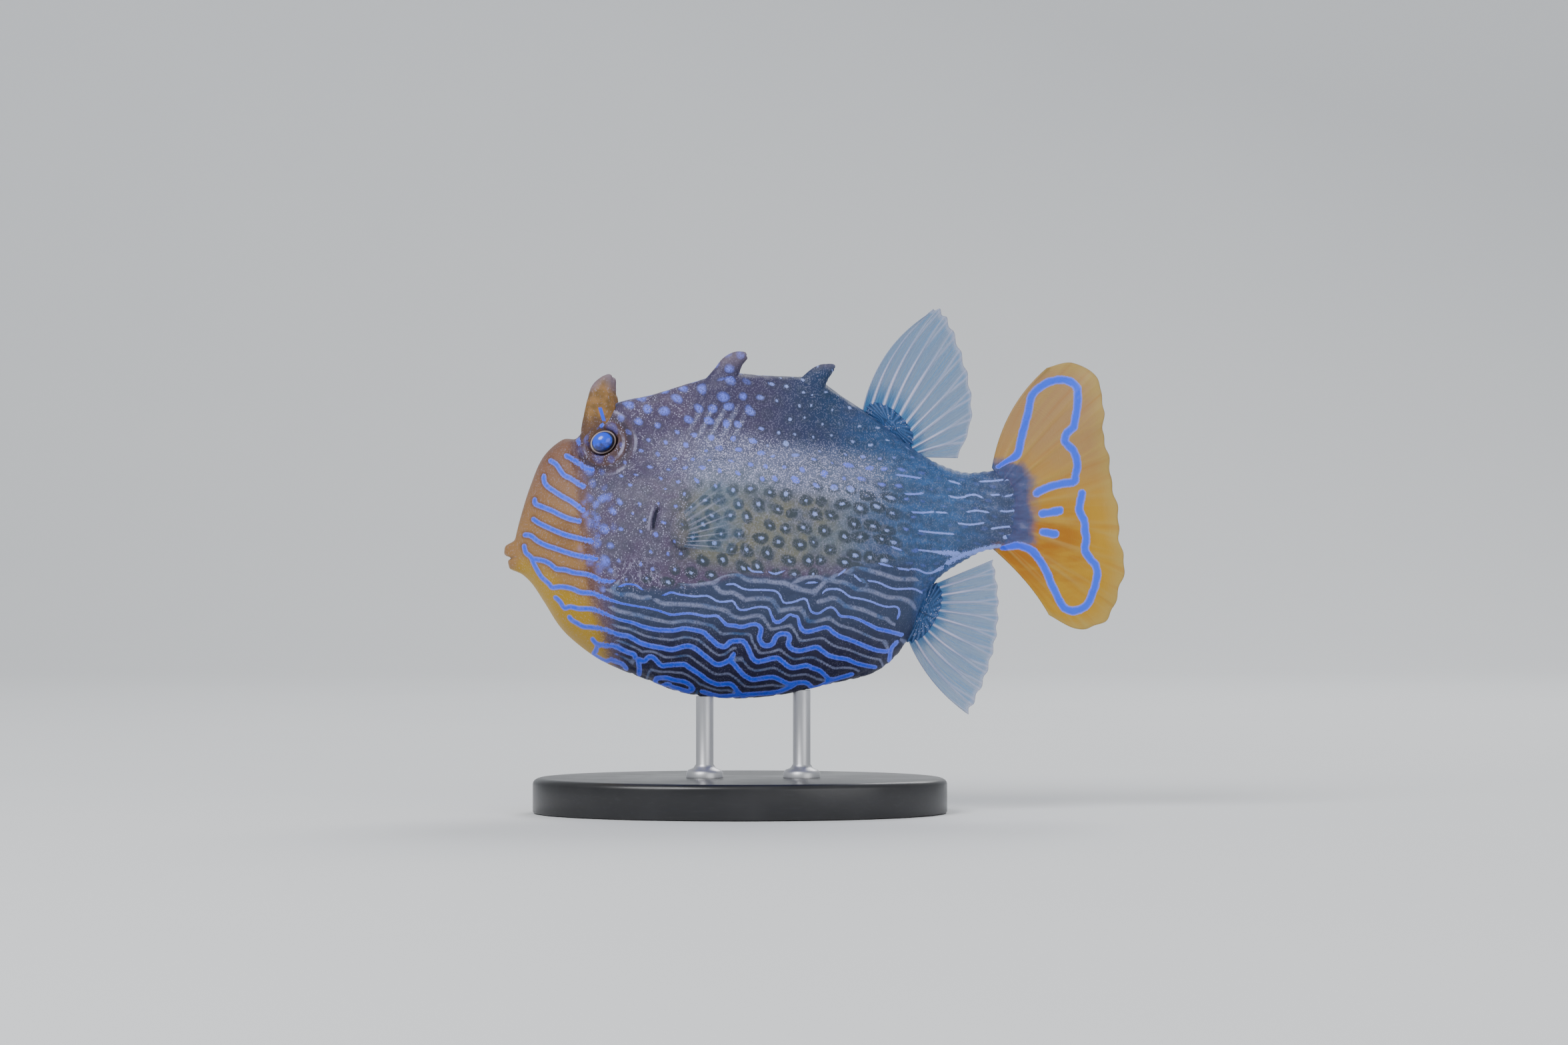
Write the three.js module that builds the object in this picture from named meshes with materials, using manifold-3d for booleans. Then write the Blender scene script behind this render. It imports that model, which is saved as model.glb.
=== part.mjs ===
// An ornate cowfish, a small boxfish of cool Australian reefs, as a life-size still model on a display stand.
// Millimetres, +Z up. The head points along -X, and the origin is the middle of the stand's underside.
// The armoured body is one lofted surface, parted into head, torso and tail stalk by thin cuts.
import * as THREE from "three";
import { mergeVertices } from "three/addons/utils/BufferGeometryUtils.js";
import Module from "manifold-3d";

const wasm = await Module();
wasm.setup();

// Driving dimensions
const GAP = 0.3; // kept between pieces that meet
const SIDES = { left: -1, right: 1 }; // the fish's own left is at -Y
const HEAD_CUT_X = -16.9; // between the gill opening and the side fin
const STALK_CUT_X = 41.6; // where the armour ends
const AROUND = 56; // vertices in one ring of the body, two for each plate
const PLATES = {
  rings: 12, from: 0.385, to: 0.765, // rings of plates, and where they start and end along the body
  relief: 0.34, top: 0.76, // height of a plate above its seams, and the share of its width that is flat
  snoutRings: 10, stalkRings: 6, // plain rings before and after them
};

// Stations along the body, from the mouth to the tail: x and z of the upper edge, x and z of the lower edge,
// then the half width.
const STATIONS = [
  [-51.3, 60.6, -50.9, 55.3, 2.6], // mouth
  [-49.9, 66.4, -47.4, 52.2, 5.8],
  [-47.6, 73.8, -44.4, 47.8, 8.8],
  [-44.6, 80.6, -40.6, 41.9, 11.6],
  [-40.2, 84.3, -36.0, 37.6, 14.0], // hump on the snout
  [-35.8, 84.5, -30.5, 34.0, 16.4],
  [-28.6, 91.9, -22.0, 30.6, 19.4], // brow
  [-19.2, 94.7, -13.0, 27.3, 21.9],
  [-8.0, 97.9, -2.0, 26.0, 23.1],
  [4.0, 98.9, 9.0, 26.8, 22.7], // deepest and widest
  [16.0, 97.6, 20.0, 29.2, 20.6],
  [26.5, 92.0, 30.8, 32.1, 17.0],
  [35.5, 85.4, 37.6, 38.6, 12.2], // rear rim of the armour
  [42.5, 80.4, 43.4, 51.4, 7.6],
  [50.5, 77.2, 52.0, 57.8, 5.0], // tail stalk
  [57.0, 77.5, 57.5, 59.8, 3.5],
  [66.0, 78.0, 66.0, 60.2, 2.2],
];

// Half sections from the top midline to the keel: y as a share of the half width, height as a share of the depth.
const CARAPACE = [
  [0, 1], [0.24, 0.999], [0.44, 0.988], [0.5, 0.93], [0.55, 0.85], [0.66, 0.775], [0.87, 0.705],
  [0.985, 0.6], [1, 0.46], [0.95, 0.33], [0.78, 0.2], [0.5, 0.085], [0.2, 0.018], [0, 0],
];
const SNOUT = [
  [0, 1], [0.26, 0.99], [0.46, 0.955], [0.6, 0.885], [0.72, 0.79], [0.83, 0.69], [0.93, 0.58],
  [0.99, 0.46], [1, 0.35], [0.93, 0.25], [0.78, 0.155], [0.56, 0.07], [0.28, 0.018], [0, 0],
];
const LAST = CARAPACE.length - 1;
const STALK = CARAPACE.map((_, i) => {
  const turn = (Math.PI * i) / LAST;
  return [Math.sin(turn), (1 + Math.cos(turn)) / 2];
});
const SNOUT_TO_CARAPACE = [2.5, 7]; // stations between which the section changes
const CARAPACE_TO_STALK = [10.5, 14];

// Low mounds that swell from the armour on both sides: x, z, radius and height.
const MOUNDS = [
  { x: -30.5, z: 84.2, r: 6.6, h: 2.1 }, // round the eye
  { x: -2.6, z: 97.0, r: 4.6, h: 1.0 }, // under the front spine
  { x: 16.6, z: 96.2, r: 4.2, h: 0.9 }, // under the rear spine
  { x: -11.0, z: 62.5, r: 5.5, h: 0.7 }, // under the side fin
];

const EYE = { x: -30.5, z: 83.8, rx: 3.3, ry: 3.3, rz: 2.85, tilt: -0.5, sunk: 1.5 };
const ORBIT = { radius: 4.0, tube: 0.85, out: 0.35 }; // raised ring of skin round the eye
const GILL = { x: -18.8, z: 66.7, rx: 0.42, ry: 1.3, rz: 2.7, tilt: 0.2 };
const NOSTRILS = [{ x: -37.3, z: 81.3, r: 0.62 }, { x: -35.6, z: 80.4, r: 0.5 }];
const UPPER_LIP = { x: -51.0, z: 59.75, rx: 2.4, ry: 3.5, rz: 1.5 };
const LOWER_LIP = { x: -50.0, z: 56.2, rx: 2.1, ry: 3.3, rz: 1.6 };

// Horns and spines, as rings up to the tip: x, z and radius. They lean outwards and are flat from the side.
const HORN = {
  y: 8.6, lean: 1.9, flat: 0.62,
  rings: [[-31.0, 86.4, 4.0], [-31.3, 90.4, 3.35], [-31.2, 93.8, 2.95], [-30.9, 96.2, 2.3],
    [-30.1, 98.0, 1.3], [-29.5, 98.8, 0.5]],
};
const FRONT_SPINE = {
  y: 8.9, lean: 1.1, flat: 0.6,
  rings: [[-4.4, 95.6, 4.4], [-3.1, 99.0, 3.0], [-2.1, 101.2, 2.3], [-0.7, 102.7, 1.6],
    [0.7, 103.4, 0.9], [1.6, 103.6, 0.35]],
};
const REAR_SPINE = {
  y: 8.3, lean: 0.9, flat: 0.6,
  rings: [[15.4, 94.6, 4.2], [17.2, 98.0, 2.6], [18.7, 99.6, 1.9], [20.0, 100.4, 1.2],
    [20.9, 100.8, 0.7], [21.5, 100.8, 0.3]],
};

// Fins. Each has a root line and a tip line, from its leading ray to its last, and its number of rays.
const MEMBRANE = 0.26; // half thickness of a membrane
const RAY = 0.3; // how far a ray stands above the membrane at its root
const DORSAL = {
  rays: 11,
  root: [[27.6, 90.6], [33.0, 90.0], [36.6, 87.0], [38.6, 83.2], [39.6, 80.6]],
  tip: [[44.6, 114.7], [49.4, 105.8], [52.2, 97.2], [52.6, 88.6], [49.4, 80.4]],
  bow: [-2.2, 1.7], sway: 0.8, rise: 0.5,
  lobe: { x: 34.0, z: 87.9, rx: 6.9, ry: 2.3, rz: 3.3, tilt: 0.75 },
};
const ANAL = {
  rays: 11,
  root: [[37.2, 41.4], [41.4, 41.6], [43.6, 44.6], [44.6, 48.4], [44.4, 52.0]],
  tip: [[51.8, 22.2], [55.6, 30.4], [58.2, 40.2], [58.6, 49.6], [57.4, 57.4]],
  bow: [-1.5, -1.2], sway: -0.7, rise: 0.4,
  lobe: { x: 41.3, z: 45.4, rx: 3.6, ry: 2.2, rz: 7.4, tilt: 0.47 },
};
const PECTORAL = {
  rays: 10,
  root: [[-12.2, 68.0], [-11.0, 65.0], [-11.2, 62.4], [-12.2, 60.4]],
  tip: [[-3.6, 75.4], [0.9, 70.8], [1.6, 64.2], [-1.8, 58.8]],
  bow: [0.4, 0.8], slant: 0.62, cup: 1.2,
  lobe: { x: -12.2, z: 64.3, rx: 3.3, ry: 2.3, rz: 4.5, tilt: 0 },
};
const CAUDAL = {
  rays: 11, middle: 69.1, halfRoot: 9.6, rootX: 62.4, rootBow: 4.6,
  tip: [[69.6, 100.9], [75.4, 102.1], [81.0, 98.6], [82.2, 90.6], [83.0, 82.6], [84.9, 73.6], [85.9, 64.2],
    [86.8, 55.6], [84.6, 46.0], [79.2, 41.7], [72.6, 42.5]],
  bowAbove: [-2.6, 1.5], bowBelow: [1.5, 0.9], fleshy: 1.55, fleshyReach: 0.3, waves: 2.6, waveHeight: 1.5,
};

const STAND = {
  length: 94, width: 58, height: 8, bevel: 1.2, sides: 44,
  rodRadius: 2.0, rodX: [-8, 14], footRadius: 4.2, footHeight: 2.6, rodSides: 16,
};

const PAINT = {
  skin: [0x5d5560, 0.62, 0],
  snout: [0x8f7340, 0.62, 0],
  stalk: [0x55525f, 0.62, 0],
  horn: [0x9a7340, 0.58, 0],
  fin: [0x8ea3b5, 0.35, 0],
  tail: [0xc08a2c, 0.5, 0],
  eye: [0x1d3f8f, 0.08, 0],
  base: [0x1d1e22, 0.35, 0],
  rod: [0xb8bcc2, 0.3, 1],
};

// Small helpers for solids
function solidOf(geometry, side = 1) {
  const loose = geometry.index ? geometry.toNonIndexed() : geometry.clone();
  const only = new THREE.BufferGeometry().setAttribute("position", loose.getAttribute("position"));
  const merged = mergeVertices(only.scale(1, side, 1), 1e-4);
  const vertProperties = merged.attributes.position.array;
  const make = (corners) =>
    new wasm.Manifold(new wasm.Mesh({ numProp: 3, vertProperties, triVerts: new Uint32Array(corners) }));
  const made = make(merged.index.array);
  return made.volume() < 0 ? make(merged.index.array.toReversed()) : made;
}

function geometryOf(solid) {
  const mesh = solid.getMesh();
  return new THREE.BufferGeometry()
    .setAttribute("position", new THREE.BufferAttribute(mesh.vertProperties, 3))
    .setIndex(new THREE.BufferAttribute(mesh.triVerts, 1));
}

function fromTriangles(points, triangles) {
  return new THREE.BufferGeometry()
    .setAttribute("position", new THREE.BufferAttribute(new Float32Array(points.flat()), 3))
    .setIndex(triangles.flat());
}

function largest(solid) {
  return solid.decompose().reduce((best, piece) => (piece.volume() > best.volume() ? piece : best));
}

function box(x0, x1, halfY, z0, z1) {
  const made = new THREE.BoxGeometry(x1 - x0, 2 * halfY, z1 - z0);
  return solidOf(made.translate((x0 + x1) / 2, 0, (z0 + z1) / 2));
}

// An ellipsoid turned by tilt in the side view and grown by more.
function ellipsoid({ x, y = 0, z, rx, ry, rz, tilt = 0 }, more = 0, detail = 8) {
  const made = new THREE.SphereGeometry(1, detail * 2, detail);
  return solidOf(made.scale(rx + more, ry + more, rz + more).rotateY(tilt).translate(x, y, z));
}

function catmull(p0, p1, p2, p3, t) {
  const b = p2 - p0;
  const c = 2 * p0 - 5 * p1 + 4 * p2 - p3;
  const d = 3 * p1 - p0 - 3 * p2 + p3;
  return 0.5 * (2 * p1 + b * t + c * t * t + d * t * t * t);
}

// A smooth row of numbers through a table's rows, at a place counted in rows.
function through(rows, place) {
  const at = Math.min(Math.max(place, 0), rows.length - 1);
  const i = Math.min(Math.floor(at), rows.length - 2);
  const row = (k) => rows[Math.min(Math.max(k, 0), rows.length - 1)];
  return row(i).map((_, c) => catmull(row(i - 1)[c], row(i)[c], row(i + 1)[c], row(i + 2)[c], at - i));
}

function between(value, low, high) {
  const t = Math.min(Math.max((value - low) / (high - low), 0), 1);
  return t * t * (3 - 2 * t);
}

// The body's surface: s runs from 0 at the mouth to 1 at the tail, and a row of the section tables goes down
// the right side. Rows past either end of a table are the other side's.
function sectionPoint(s, row) {
  const place = s * (STATIONS.length - 1);
  const [topX, topZ, lowX, lowZ, half] = through(STATIONS, place);
  const armour = between(place, ...SNOUT_TO_CARAPACE);
  const stalk = between(place, ...CARAPACE_TO_STALK);
  const profile = (i) => {
    const k = i > LAST ? 2 * LAST - i : Math.abs(i);
    const sign = i < 0 || i > LAST ? -1 : 1;
    const mixed = [0, 1].map((c) => {
      const front = SNOUT[k][c] + (CARAPACE[k][c] - SNOUT[k][c]) * armour;
      return front + (STALK[k][c] - front) * stalk;
    });
    return [mixed[0] * sign, mixed[1]];
  };
  const i = Math.min(Math.floor(row), LAST - 1);
  const [y, h] = [0, 1].map((c) =>
    catmull(profile(i - 1)[c], profile(i)[c], profile(i + 1)[c], profile(i + 2)[c], row - i));
  return new THREE.Vector3(lowX + (topX - lowX) * h, half * y, lowZ + (topZ - lowZ) * h);
}

// Lengths down the widest section, so that points can be spread evenly round the body.
const WIDEST = 0.53;
const SAMPLES = 260;
const lengths = [0];
for (let i = 1; i <= SAMPLES; i++) {
  const before = sectionPoint(WIDEST, (LAST * (i - 1)) / SAMPLES);
  lengths.push(lengths[i - 1] + before.distanceTo(sectionPoint(WIDEST, (LAST * i) / SAMPLES)));
}

function rowAt(share) {
  const want = share * lengths[SAMPLES];
  const i = Math.max(lengths.findIndex((length) => length >= want), 1);
  return (LAST * (i - 1 + (want - lengths[i - 1]) / (lengths[i] - lengths[i - 1]))) / SAMPLES;
}

// f goes once round the body: 0 is the back, 0.25 the right side, 0.5 the keel and 0.75 the left side.
function smoothPoint(s, f) {
  const turn = f - Math.floor(f);
  const point = sectionPoint(Math.min(Math.max(s, 0), 1), rowAt(turn <= 0.5 ? turn * 2 : 2 - turn * 2));
  if (turn > 0.5) point.y = -point.y;
  return point;
}

function bodyPoint(s, f, lift = 0) {
  const step = 0.004;
  const inside = Math.min(Math.max(s, step), 1 - step);
  const along = smoothPoint(inside + step, f).sub(smoothPoint(inside - step, f));
  const round = smoothPoint(inside, f + step).sub(smoothPoint(inside, f - step));
  const point = smoothPoint(s, f);
  const swell = MOUNDS.map(({ x, z, r, h }) => h * Math.exp(-((point.x - x) ** 2 + (point.z - z) ** 2) / (r * r)));
  return point.addScaledVector(along.cross(round).normalize(), lift + swell.reduce((sum, value) => sum + value));
}

// Where the body's right side passes a place in the side view.
function skinAt(x, z) {
  let best = { s: 0.5, f: 0.25, miss: Infinity };
  for (let reach = 0.25; reach > 1e-4; reach *= 0.6) {
    const centre = { ...best };
    for (let i = -6; i <= 6; i++) {
      for (let j = -6; j <= 6; j++) {
        const s = Math.min(Math.max(centre.s + (2 * reach * i) / 6, 0), 1);
        const f = Math.min(Math.max(centre.f + (reach * j) / 6, 0), 0.5);
        const point = bodyPoint(s, f);
        const miss = Math.hypot(point.x - x, point.z - z);
        if (miss < best.miss) best = { s, f, miss };
      }
    }
  }
  return bodyPoint(best.s, best.f);
}

function closeEnds(rings, points, triangles) {
  for (const [ring, flip] of [[rings[0], false], [rings[rings.length - 1], true]]) {
    const sum = ring.reduce((total, i) => total.add(new THREE.Vector3(...points[i])), new THREE.Vector3());
    const middle = points.push(sum.divideScalar(ring.length).toArray()) - 1;
    ring.forEach((corner, k) => {
      const next = ring[(k + 1) % ring.length];
      triangles.push(flip ? [middle, next, corner] : [middle, corner, next]);
    });
  }
}

function joinRings(a, b, triangles) {
  a.forEach((corner, k) => {
    const n = (k + 1) % a.length;
    triangles.push([corner, b[k], a[n]], [a[n], b[k], b[n]]);
  });
}

// A ring of the body's points. along gives each point's share of the body's length.
function bodyRing(along, grow, points) {
  return Array.from({ length: AROUND }, (_, k) => points.push(bodyPoint(along(k), k / AROUND, grow).toArray()) - 1);
}

const FIRST_RING = 0.01;

// The body with its armour: rings of hexagons whose seams zigzag round it, each with a raised flat plate.
function platedBody(grow) {
  const points = [];
  const triangles = [];
  const pitch = (PLATES.to - PLATES.from) / PLATES.rings;
  const seam = grow - PLATES.relief / 2;
  const flat = grow + PLATES.relief / 2;
  const before = Array.from({ length: PLATES.snoutRings + 1 }, (_, i) =>
    bodyRing(() => FIRST_RING + ((PLATES.from - 0.7 * pitch - FIRST_RING) * i) / PLATES.snoutRings, grow, points));
  const seams = Array.from({ length: PLATES.rings + 1 }, (_, j) =>
    bodyRing((k) => PLATES.from + pitch * (j + ((k + j) % 2 === 0 ? -1 : 1) / 6), seam, points));
  const after = Array.from({ length: PLATES.stalkRings }, (_, i) =>
    bodyRing(() => PLATES.to + 0.7 * pitch
      + ((1 - PLATES.to - 0.7 * pitch) * i) / (PLATES.stalkRings - 1), grow, points));
  const rings = [...before, ...seams, ...after];
  rings.slice(1).forEach((ring, i) => {
    if (i < before.length || i >= before.length + PLATES.rings) joinRings(rings[i], ring, triangles);
  });
  const corners = [[-1, -1 / 3], [0, -2 / 3], [1, -1 / 3], [1, 1 / 3], [0, 2 / 3], [-1, 1 / 3]];
  seams.slice(1).forEach((rear, j) => {
    const front = seams[j];
    for (let k = j % 2; k < AROUND; k += 2) {
      const p = (k + AROUND - 1) % AROUND;
      const n = (k + 1) % AROUND;
      const rim = [front[p], front[k], front[n], rear[n], rear[k], rear[p]];
      const top = corners.map(([side, along]) => points.push(bodyPoint(
        PLATES.from + pitch * (j + 0.5 + along * PLATES.top), (k + side * PLATES.top) / AROUND, flat).toArray()) - 1);
      rim.forEach((corner, c) => {
        const d = (c + 1) % rim.length;
        triangles.push([corner, top[c], rim[d]], [rim[d], top[c], top[d]]);
      });
      for (const [a, b, c] of [[0, 4, 1], [0, 5, 4], [1, 3, 2], [1, 4, 3]]) triangles.push([top[a], top[b], top[c]]);
    }
  });
  closeEnds(rings, points, triangles);
  return solidOf(fromTriangles(points, triangles));
}

// A horn or spine on one side, through its rings and closed at both ends.
function spineSolid({ y, lean, flat, rings: path }, side, sides = 10) {
  const points = [];
  const triangles = [];
  const rings = path.map(([x, z, r], i) => {
    const [x0, z0] = path[Math.max(i - 1, 0)];
    const [x1, z1] = path[Math.min(i + 1, path.length - 1)];
    const long = Math.hypot(x1 - x0, z1 - z0);
    const acrossX = (z1 - z0) / long;
    const acrossZ = -(x1 - x0) / long;
    const out = y + (lean * i) / (path.length - 1);
    return Array.from({ length: sides }, (_, k) => {
      const turn = (2 * Math.PI * k) / sides;
      const wide = r * Math.cos(turn);
      return points.push([x + acrossX * wide, out + r * flat * Math.sin(turn), z + acrossZ * wide]) - 1;
    });
  });
  rings.slice(1).forEach((ring, i) => joinRings(ring, rings[i], triangles));
  closeEnds(rings.reverse(), points, triangles);
  return solidOf(fromTriangles(points, triangles), side);
}

// A fin: a thin sheet over a grid of rays and rows, with each ray raised in both faces. place gives the middle
// of the sheet, and thick its half thickness, at a share across the rays and a share from root to tip.
function finSolid({ rays, place, thick, across, rows = 5, side = 1 }) {
  const columns = 2 * rays - 1;
  const points = [];
  const triangles = [];
  const face = (sign) => Array.from({ length: columns }, (_, c) => Array.from({ length: rows }, (_, r) => {
    const u = c / (columns - 1);
    const v = r / (rows - 1);
    const ridge = c % 2 === 0 ? RAY * (1 - 0.75 * v) : 0;
    const point = place(u, v, c % 2 === 0).addScaledVector(across, sign * (thick(u, v) + ridge));
    return points.push(point.toArray()) - 1;
  }));
  const near = face(-1);
  const far = face(1);
  const quad = (a, b, c, d) => triangles.push([a, b, c], [a, c, d]);
  for (let c = 0; c < columns - 1; c++) {
    for (let r = 0; r < rows - 1; r++) {
      quad(near[c][r], near[c][r + 1], near[c + 1][r + 1], near[c + 1][r]);
      quad(far[c + 1][r + 1], far[c][r + 1], far[c][r], far[c + 1][r]);
    }
    quad(near[c][0], near[c + 1][0], far[c + 1][0], far[c][0]);
    quad(near[c + 1][rows - 1], near[c][rows - 1], far[c][rows - 1], far[c + 1][rows - 1]);
  }
  for (let r = 0; r < rows - 1; r++) {
    quad(near[0][r + 1], near[0][r], far[0][r], far[0][r + 1]);
    quad(near[columns - 1][r], near[columns - 1][r + 1], far[columns - 1][r + 1], far[columns - 1][r]);
  }
  return solidOf(fromTriangles(points, triangles), side);
}

// A point on a fin in the side view. The leading ray bends by bow, and the web's edge dips between the rays.
function spread({ root, tip, bow }, u, v, onRay) {
  const [rootX, rootZ] = through(root, u * (root.length - 1));
  const [tipX, tipZ] = through(tip, u * (tip.length - 1));
  const reach = onRay ? v : v * 0.97;
  const bend = 4 * v * (1 - v) * Math.max(1 - 2 * u, 0);
  return [rootX + (tipX - rootX) * reach + bow[0] * bend, rootZ + (tipZ - rootZ) * reach + bow[1] * bend];
}

const SIDEWAYS = new THREE.Vector3(0, 1, 0);

// The fins on the back and under the tail stalk, with their fleshy roots.
function uprightFin(fin) {
  const sheet = finSolid({
    rays: fin.rays,
    across: SIDEWAYS,
    thick: (u, v) => MEMBRANE + fin.rise * (1 - v) ** 3,
    place: (u, v, onRay) => {
      const [x, z] = spread(fin, u, v, onRay);
      return new THREE.Vector3(x, fin.sway * Math.sin(Math.PI * u) * v * v, z);
    },
  });
  return sheet.add(ellipsoid(fin.lobe));
}

function sideFin(side) {
  const at = skinAt(PECTORAL.lobe.x, PECTORAL.lobe.z);
  const outwards = new THREE.Vector3(-PECTORAL.slant, 1, 0).normalize();
  const sheet = finSolid({
    rays: PECTORAL.rays,
    rows: 5,
    side,
    across: outwards,
    thick: (u, v) => MEMBRANE + 0.4 * (1 - v) ** 3,
    place: (u, v, onRay) => {
      const [x, z] = spread(PECTORAL, u, v, onRay);
      const cupped = PECTORAL.cup * Math.sin(Math.PI * u) * v;
      return new THREE.Vector3(x, at.y + 1.2 + PECTORAL.slant * (x - PECTORAL.lobe.x) + cupped, z);
    },
  });
  return sheet.add(ellipsoid({ ...PECTORAL.lobe, y: side * (at.y - 0.3) }));
}

// The line where the tail fin's rays leave the stalk, at a share from its top to its foot.
function tailRoot(u) {
  const across = 1 - 2 * u;
  return [CAUDAL.rootX - CAUDAL.rootBow * across * across, CAUDAL.middle + CAUDAL.halfRoot * across];
}

function tailFin() {
  return finSolid({
    rays: CAUDAL.rays,
    rows: 10,
    across: SIDEWAYS,
    thick: (u, v) => MEMBRANE + CAUDAL.fleshy * Math.max(1 - v / CAUDAL.fleshyReach, 0) ** 1.5,
    place: (u, v, onRay) => {
      const [rootX, rootZ] = tailRoot(u);
      const [tipX, tipZ] = through(CAUDAL.tip, u * (CAUDAL.tip.length - 1));
      const reach = onRay ? v : v * 0.985;
      const bend = 4 * v * (1 - v) * (1 - 2 * u) ** 2;
      const [bowX, bowZ] = u < 0.5 ? CAUDAL.bowAbove : CAUDAL.bowBelow;
      const wave = CAUDAL.waveHeight * Math.sin(2 * Math.PI * CAUDAL.waves * u) * v ** 3;
      return new THREE.Vector3(
        rootX + (tipX - rootX) * reach + bowX * bend, wave, rootZ + (tipZ - rootZ) * reach + bowZ * bend);
    },
  });
}

// A block that takes the body away behind the tail fin's root.
function behindTailRoot(shift) {
  const steps = 12;
  const outline = new THREE.Shape();
  outline.moveTo(90, CAUDAL.middle + 40);
  outline.lineTo(tailRoot(-0.5)[0] + shift, CAUDAL.middle + 40);
  for (let i = -steps / 4; i <= (5 * steps) / 4; i++) {
    const [x, z] = tailRoot(i / steps);
    outline.lineTo(x + shift, z);
  }
  outline.lineTo(tailRoot(1.5)[0] + shift, CAUDAL.middle - 40);
  outline.lineTo(90, CAUDAL.middle - 40);
  const block = new THREE.ExtrudeGeometry(outline, { depth: 40, bevelEnabled: false });
  return solidOf(block.translate(0, 0, -20).rotateX(Math.PI / 2));
}

function eyePlace(side) {
  const at = skinAt(EYE.x, EYE.z);
  return { ...EYE, y: side * (at.y - EYE.sunk) };
}

function orbitRing(side, more = 0) {
  const at = skinAt(EYE.x, EYE.z);
  const ring = new THREE.TorusGeometry(ORBIT.radius, ORBIT.tube + more, 6, 16);
  return solidOf(ring.rotateX(Math.PI / 2).translate(EYE.x, side * (at.y + ORBIT.out - ORBIT.tube), EYE.z));
}

function headSolid(body) {
  let head = body.intersect(box(-80, HEAD_CUT_X - GAP / 2, 40, 0, 130));
  for (const side of Object.values(SIDES)) {
    head = head.add(orbitRing(side)).subtract(ellipsoid(eyePlace(side), GAP));
    const gill = skinAt(GILL.x, GILL.z);
    head = head.subtract(ellipsoid({ ...GILL, y: side * gill.y }));
    for (const { x, z, r } of NOSTRILS) {
      const y = side * skinAt(x, z).y;
      head = head.subtract(ellipsoid({ x, y, z, rx: r, ry: r * 1.3, rz: r }, 0, 4));
    }
  }
  return head;
}

function standBase() {
  const profile = [[0, 0], [1, 0], [1, STAND.height - STAND.bevel], [1, STAND.height], [0, STAND.height]];
  const points = profile.map(([share, z], i) => {
    const inset = i === 3 ? STAND.bevel : 0;
    return new THREE.Vector2(share * (STAND.width / 2 - inset), z);
  });
  const made = new THREE.LatheGeometry(points, STAND.sides).rotateX(Math.PI / 2);
  return solidOf(made.scale(STAND.length / STAND.width, 1, 1));
}

function standRod(x) {
  const foot = STAND.height + GAP;
  const points = [[0, foot], [STAND.footRadius, foot], [STAND.footRadius, foot + STAND.footHeight * 0.6],
    [STAND.rodRadius, foot + STAND.footHeight], [STAND.rodRadius, 40], [0, 40]];
  const made = new THREE.LatheGeometry(points.map(([r, z]) => new THREE.Vector2(r, z)), STAND.rodSides);
  return solidOf(made.rotateX(Math.PI / 2).translate(x, 0, 0));
}

// The scene: one named mesh for each part of the fish and its stand
const group = new THREE.Group();

function addNode(name, solid, paint) {
  const [color, roughness, metalness] = PAINT[paint];
  const mesh = new THREE.Mesh(geometryOf(largest(solid)), new THREE.MeshStandardMaterial({ color, roughness, metalness }));
  mesh.name = name;
  group.add(mesh);
}

const body = platedBody(0);
const clearance = platedBody(GAP);

addNode("head", headSolid(body), "snout");
addNode("torso", body.intersect(box(HEAD_CUT_X + GAP / 2, STALK_CUT_X - GAP / 2, 40, 0, 130)), "skin");
addNode("tail_stalk", body.intersect(box(STALK_CUT_X + GAP / 2, 80, 40, 0, 130)).subtract(behindTailRoot(-GAP)), "stalk");
addNode("upper_lip", ellipsoid(UPPER_LIP, 0, 10).subtract(clearance), "snout");
addNode("lower_lip", ellipsoid(LOWER_LIP, 0, 10).subtract(clearance), "snout");
for (const [name, side] of Object.entries(SIDES)) {
  addNode(`eye_${name}`, ellipsoid(eyePlace(side), 0, 9), "eye");
  const aboveEye = orbitRing(side, GAP).add(ellipsoid(eyePlace(side), 2 * GAP));
  addNode(`horn_${name}`, spineSolid(HORN, side).subtract(clearance).subtract(aboveEye), "horn");
  addNode(`front_spine_${name}`, spineSolid(FRONT_SPINE, side).subtract(clearance), "skin");
  addNode(`rear_spine_${name}`, spineSolid(REAR_SPINE, side).subtract(clearance), "skin");
  addNode(`pectoral_fin_${name}`, sideFin(side).subtract(clearance), "fin");
}
addNode("dorsal_fin", uprightFin(DORSAL).subtract(clearance), "fin");
addNode("anal_fin", uprightFin(ANAL).subtract(clearance), "fin");
addNode("caudal_fin", tailFin(), "tail");
addNode("stand_base", standBase(), "base");
STAND.rodX.forEach((x, i) => {
  addNode(`stand_rod_${["front", "rear"][i]}`, standRod(x).subtract(clearance), "rod");
});

export default group;
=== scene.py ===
"""Ornate boxfish on a display stand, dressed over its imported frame."""

import math

import bmesh
import bpy
import numpy as np
from mathutils import Matrix, Vector


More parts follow.
